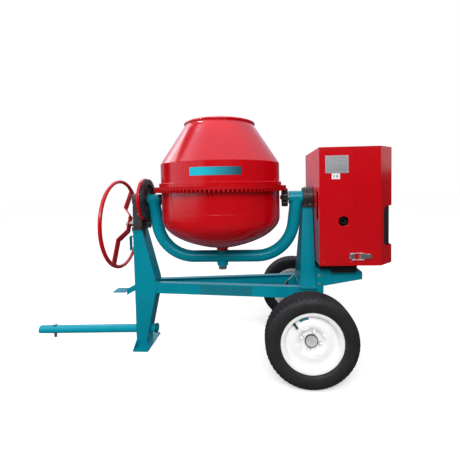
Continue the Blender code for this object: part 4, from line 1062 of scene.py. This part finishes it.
def engine_pieces():
    s = Shape()
    for k in range(11):
        z = 888 + 10.5 * k
        s.box(921, 1084, -99, 84, z, z + 3.2)
    piece("cylinder_fins", s, ALLOY, "frame", bevel=0.8)
    s = Shape().lathe([(0, -90), (10, -90), (10, -96), (12, -98), (12, -112), (7, -116), (6, -132),
                       (0, -132)], "Y", 1050, 990, 24, False)
    piece("spark_plug_cap", s, PLASTIC, "frame")
    # air cleaner on the far side
    s = Shape().prism(rounded(925, 1075, 905, 1005, 18), "Y", 96, 176)
    s.prism(rounded(931, 1069, 911, 999, 16), "Y", 176, 184)
    piece("air_cleaner", s, PLASTIC, "frame", bevel=4)
    s = Shape()
    for k in range(9):
        s.box(936 + 15 * k, 942 + 15 * k, 184, 186.5, 920, 990)
    piece("air_cleaner_ribs", s, PLASTIC, "frame", bevel=0.8)
    # muffler guard with slots, in the near-black: its own soot plus painted shade inside the hood
    s = Shape()
    for k in range(7):
        z = 907 + 13 * k
        s.box(922, 1008, -224.6, -222.2, z, z + 7)
    piece("muffler_guard", s, SOOTY_SHADE, "frame", bevel=0.6)
    # recoil starter: slots round the dome and the pull grip
    s = Shape()
    for k in range(18):
        m = Matrix.Translation(Vector((0, 0, CRANK_Z))) @ Matrix.Rotation(math.radians(20 * k), 4, "X")
        s.box(1149.6, 1152.2, -3, 3, 68, 96, m)
    s.lathe([(0, 1165), (18, 1165), (20, 1166.5), (18, 1168), (0, 1168)], "X", 0, CRANK_Z, 40, False)
    piece("starter_ribs", s, PLASTIC, "frame", bevel=0.6)
    s = Shape().tube([(1132, -96, 838), (1132, -118, 850)], 6, 16)
    s.tube([(1110, -120, 851), (1154, -120, 851)], 7, 20)
    piece("starter_grip", s, PLASTIC, "frame")
    # tank cap, seam and brackets
    s = Shape().lathe([(0, 1203.6), (35, 1203.6), (36.5, 1205), (36.5, 1217), (34, 1220), (0, 1221)],
                      "Z", 1090, 60, 60, False)
    for k in range(20):
        a = 2 * math.pi * k / 20
        s.box(1090 + 36 * math.cos(a) - 1.6, 1090 + 36 * math.cos(a) + 1.6, 60 + 36 * math.sin(a) - 1.6,
              60 + 36 * math.sin(a) + 1.6, 1206, 1216)
    piece("tank_cap", s, PLASTIC, "frame")
    s = Shape().prism(rounded(911, 1154, -154, 194, 16), "Z", 1103, 1107)
    piece("tank_seam", s, BLACK, "frame", bevel=1.0)
    s = Shape().box(935, 941, -60, 60, 1008, 1031).box(1120, 1126, -60, 60, 1008, 1031)
    s.box(1060, 1126, -60, 60, 1006, 1010)
    piece("tank_brackets", s, BLACK, "frame", bevel=0.8)
    s = Shape()
    for x, y in ((920, -124), (920, 114), (1085, -124), (1085, 114)):
        s.bolt((x, y, 799.8), (0, 0, 1), 10, 5, 1, 0.2)
    for k in range(6):
        a = math.radians(30 + 60 * k)
        s.bolt((1150, 97 * math.cos(a), CRANK_Z + 97 * math.sin(a)), (1, 0, 0), 8, 3.5, 0.8, 0.3)
    piece("engine_bolts", s, ZINC, "frame")
    # ribs and boss of the drive pulley
    s = Shape()
    for k in range(5):
        m = Matrix.Translation(Vector((0, 0, TILT_Z))) @ Matrix.Rotation(math.radians(72 * k), 4, "X")
        s.box(866.6, 869, -9, 9, 34, 128, m)
    s.lathe([(15.8, 866.6), (32, 866.6), (32, 872), (30, 874), (15.8, 874)], "X", 0, TILT_Z, 48)
    piece("pulley_ribs", s, BLACK, "pinion", bevel=1.0)


engine_pieces()


# ---- stage, light and camera ----------------------------------------------------------------

def stage():
    mesh = bpy.data.meshes.new("floor")
    n, r = 96, 30.0
    angles = [2 * math.pi * i / n for i in range(n)]
    verts = [(r * math.cos(a), r * math.sin(a), -0.0005) for a in angles]
    mesh.from_pydata(verts, [], [tuple(range(n))])
    ob = bpy.data.objects.new("floor", mesh)
    bpy.context.scene.collection.objects.link(ob)
    g = Graph("floor_paper")
    grain = g.noise(6, 3, 0.5)
    tone = g.mix(g.span(grain, 0.0, 0.02, 0.3, 0.7), (0.98, 0.98, 0.98), (0.95, 0.95, 0.95))
    # a pale floor to the eye, soft bounce light from below, and hardly any mirror image in the paint
    path = g.node("ShaderNodeLightPath")
    bounce = g.mix(path.outputs["Is Diffuse Ray"], (0.05, 0.05, 0.05), (0.34, 0.34, 0.34))
    tone = g.mix(path.outputs["Is Camera Ray"], bounce, tone)
    mat = g.done(tone, 0.9, Specular_IOR_Level=0.1, Emission_Color=(1, 1, 1, 1))
    g.link(g.span(path.outputs["Is Camera Ray"], 0.0, 0.34), g.shader.inputs["Emission Strength"])
    mesh.materials.append(mat)


SKY_LOW, SKY_HIGH, WALL_GLOW, TOP_GLOW, LEFT_GLOW = 0.03, 1.12, 0.25, 1.12, 0.50


def place_lamp(name, lamp, place, target):
    """Stands a lamp at its place, aimed at the target."""
    ob = bpy.data.objects.new(name, lamp)
    ob.location = place
    ob.rotation_euler = (Vector(target) - Vector(place)).to_track_quat("-Z", "Y").to_euler()
    bpy.context.scene.collection.objects.link(ob)
    return ob


def area(name, place, target, size_x, size_y, power):
    lamp = bpy.data.lights.new(name, "AREA")
    lamp.shape = "RECTANGLE"
    lamp.size, lamp.size_y = size_x, size_y
    lamp.energy = power
    place_lamp(name, lamp, place, target).visible_camera = False


def spot(name, place, target, angle, power):
    lamp = bpy.data.lights.new(name, "SPOT")
    lamp.energy = power
    lamp.spot_size = math.radians(angle)
    lamp.spot_blend = 0.6
    lamp.shadow_soft_size = 0.15
    place_lamp(name, lamp, place, target)


def lights():
    """Soft studio: a sky that brightens overhead, dark at eye level, with a white backdrop."""
    bpy.context.scene.view_settings.view_transform = "Standard"
    world = bpy.data.worlds.new("studio")
    bpy.context.scene.world = world
    g = Graph("studio", world)
    sep = g.node("ShaderNodeSeparateXYZ")
    g.link(g.coord, sep.inputs[0])
    height = sep.outputs["Z"]
    rise = g.span(height, SKY_LOW, SKY_HIGH, 0.10, 1.0)
    # white wall behind and to the left
    wall = g.span(g.dot(g.coord, (-0.7, 0.7, 0.0)), 0.0, 1.0, 0.05, 0.65, True)
    total = g.maths("MULTIPLY_ADD", wall, g.span(height, WALL_GLOW, TOP_GLOW, 0.25, 0.60), rise)
    # a lit sheet to the left of the camera, from the ground to a third of the way up
    flat = g.node("ShaderNodeVectorMath", operation="MULTIPLY")
    flat.inputs[1].default_value = (1.0, 1.0, 0.0)
    g.link(g.coord, flat.inputs[0])
    unit = g.node("ShaderNodeVectorMath", operation="NORMALIZE")
    g.link(flat.outputs["Vector"], unit.inputs[0])
    level = unit.outputs["Vector"]
    sheet = g.span(g.dot(level, (-0.883, -0.469, 0.0)), 0.0, LEFT_GLOW, 0.765, 0.81, True)
    total = g.maths("MULTIPLY_ADD", sheet, g.span(height, 1.0, 0.0, 0.28, 0.42, True), total)
    # a dark gap between the overhead sheet and the wall, which shows as a band on the drum's cone
    gap = g.span(g.dot(level, (-0.9205, 0.3907, 0.0)), 1.0, 0.05, 0.966, 0.984, True)
    total = g.maths("MULTIPLY", total, gap)
    # stronger and slightly tinted in reflections, and plain white to the camera
    path = g.node("ShaderNodeLightPath")
    glossy = path.outputs["Is Glossy Ray"]
    total = g.maths("MULTIPLY", total, g.span(glossy, 0.74, 1.40))
    pick = g.node("ShaderNodeMix", data_type="FLOAT")
    pick.inputs[3].default_value = 1.0
    g.link(path.outputs["Is Camera Ray"], pick.inputs[0])
    g.link(total, pick.inputs[2])
    g.link(g.mix(glossy, (1.0, 1.0, 1.0), (1.0, 0.93, 1.13)), g.shader.inputs["Color"])
    g.link(pick.outputs[0], g.shader.inputs["Strength"])
    area("left_key", (-5.0, -3.0, 4.6), (0.3, 0, 1.0), 2.2, 2.2, 52)
    area("front_box", (0.4, -3.8, 3.2), (0.3, 0, 0.85), 3.2, 1.4, 132)
    area("left_strip", (-2.6, -1.75, 0.93), (0.0, -1.75, 0.93), 4.4, 0.36, 3.6)
    area("side_box", (-2.2, 0.95, 2.6), (-0.1, -0.2, 1.40), 1.2, 1.2, 14)
    spot("hood_spot", (-1.2, -0.35, 3.4), (0.81, -0.05, 1.28), 17, 330)
    spot("wheel_spot", (0.75, -4.2, 1.1), (0.64, -0.55, 0.31), 9, 90)
    area("right_box", (3.4, 0.35, 1.62), (1.26, -0.22, 1.35), 0.7, 0.5, 0.9)


def camera():
    """The photograph's viewpoint: eye height 1.18 m, turned a little left, level within three degrees."""
    yaw, pitch, roll = math.radians(2.92), math.radians(2.54), math.radians(1.11)
    fwd = Vector((-math.sin(yaw) * math.cos(pitch), math.cos(yaw) * math.cos(pitch), -math.sin(pitch)))
    right = Vector((math.cos(yaw), math.sin(yaw), 0))
    up = right.cross(fwd)
    r2 = right * math.cos(roll) - up * math.sin(roll)
    u2 = right * math.sin(roll) + up * math.cos(roll)
    data = bpy.data.cameras.new("view")
    data.sensor_width = 36.0
    data.lens = 23.596
    data.shift_x = -0.0256
    data.shift_y = -0.0632
    data.dof.use_dof = False
    data.clip_end = 200
    ob = bpy.data.objects.new("view", data)
    m = Matrix((r2, u2, -fwd)).transposed().to_4x4()
    m.translation = Vector((0.40789, -2.24113, 1.17811))
    ob.matrix_world = m
    bpy.context.scene.collection.objects.link(ob)
    bpy.context.scene.camera = ob


stage()
lights()
camera()
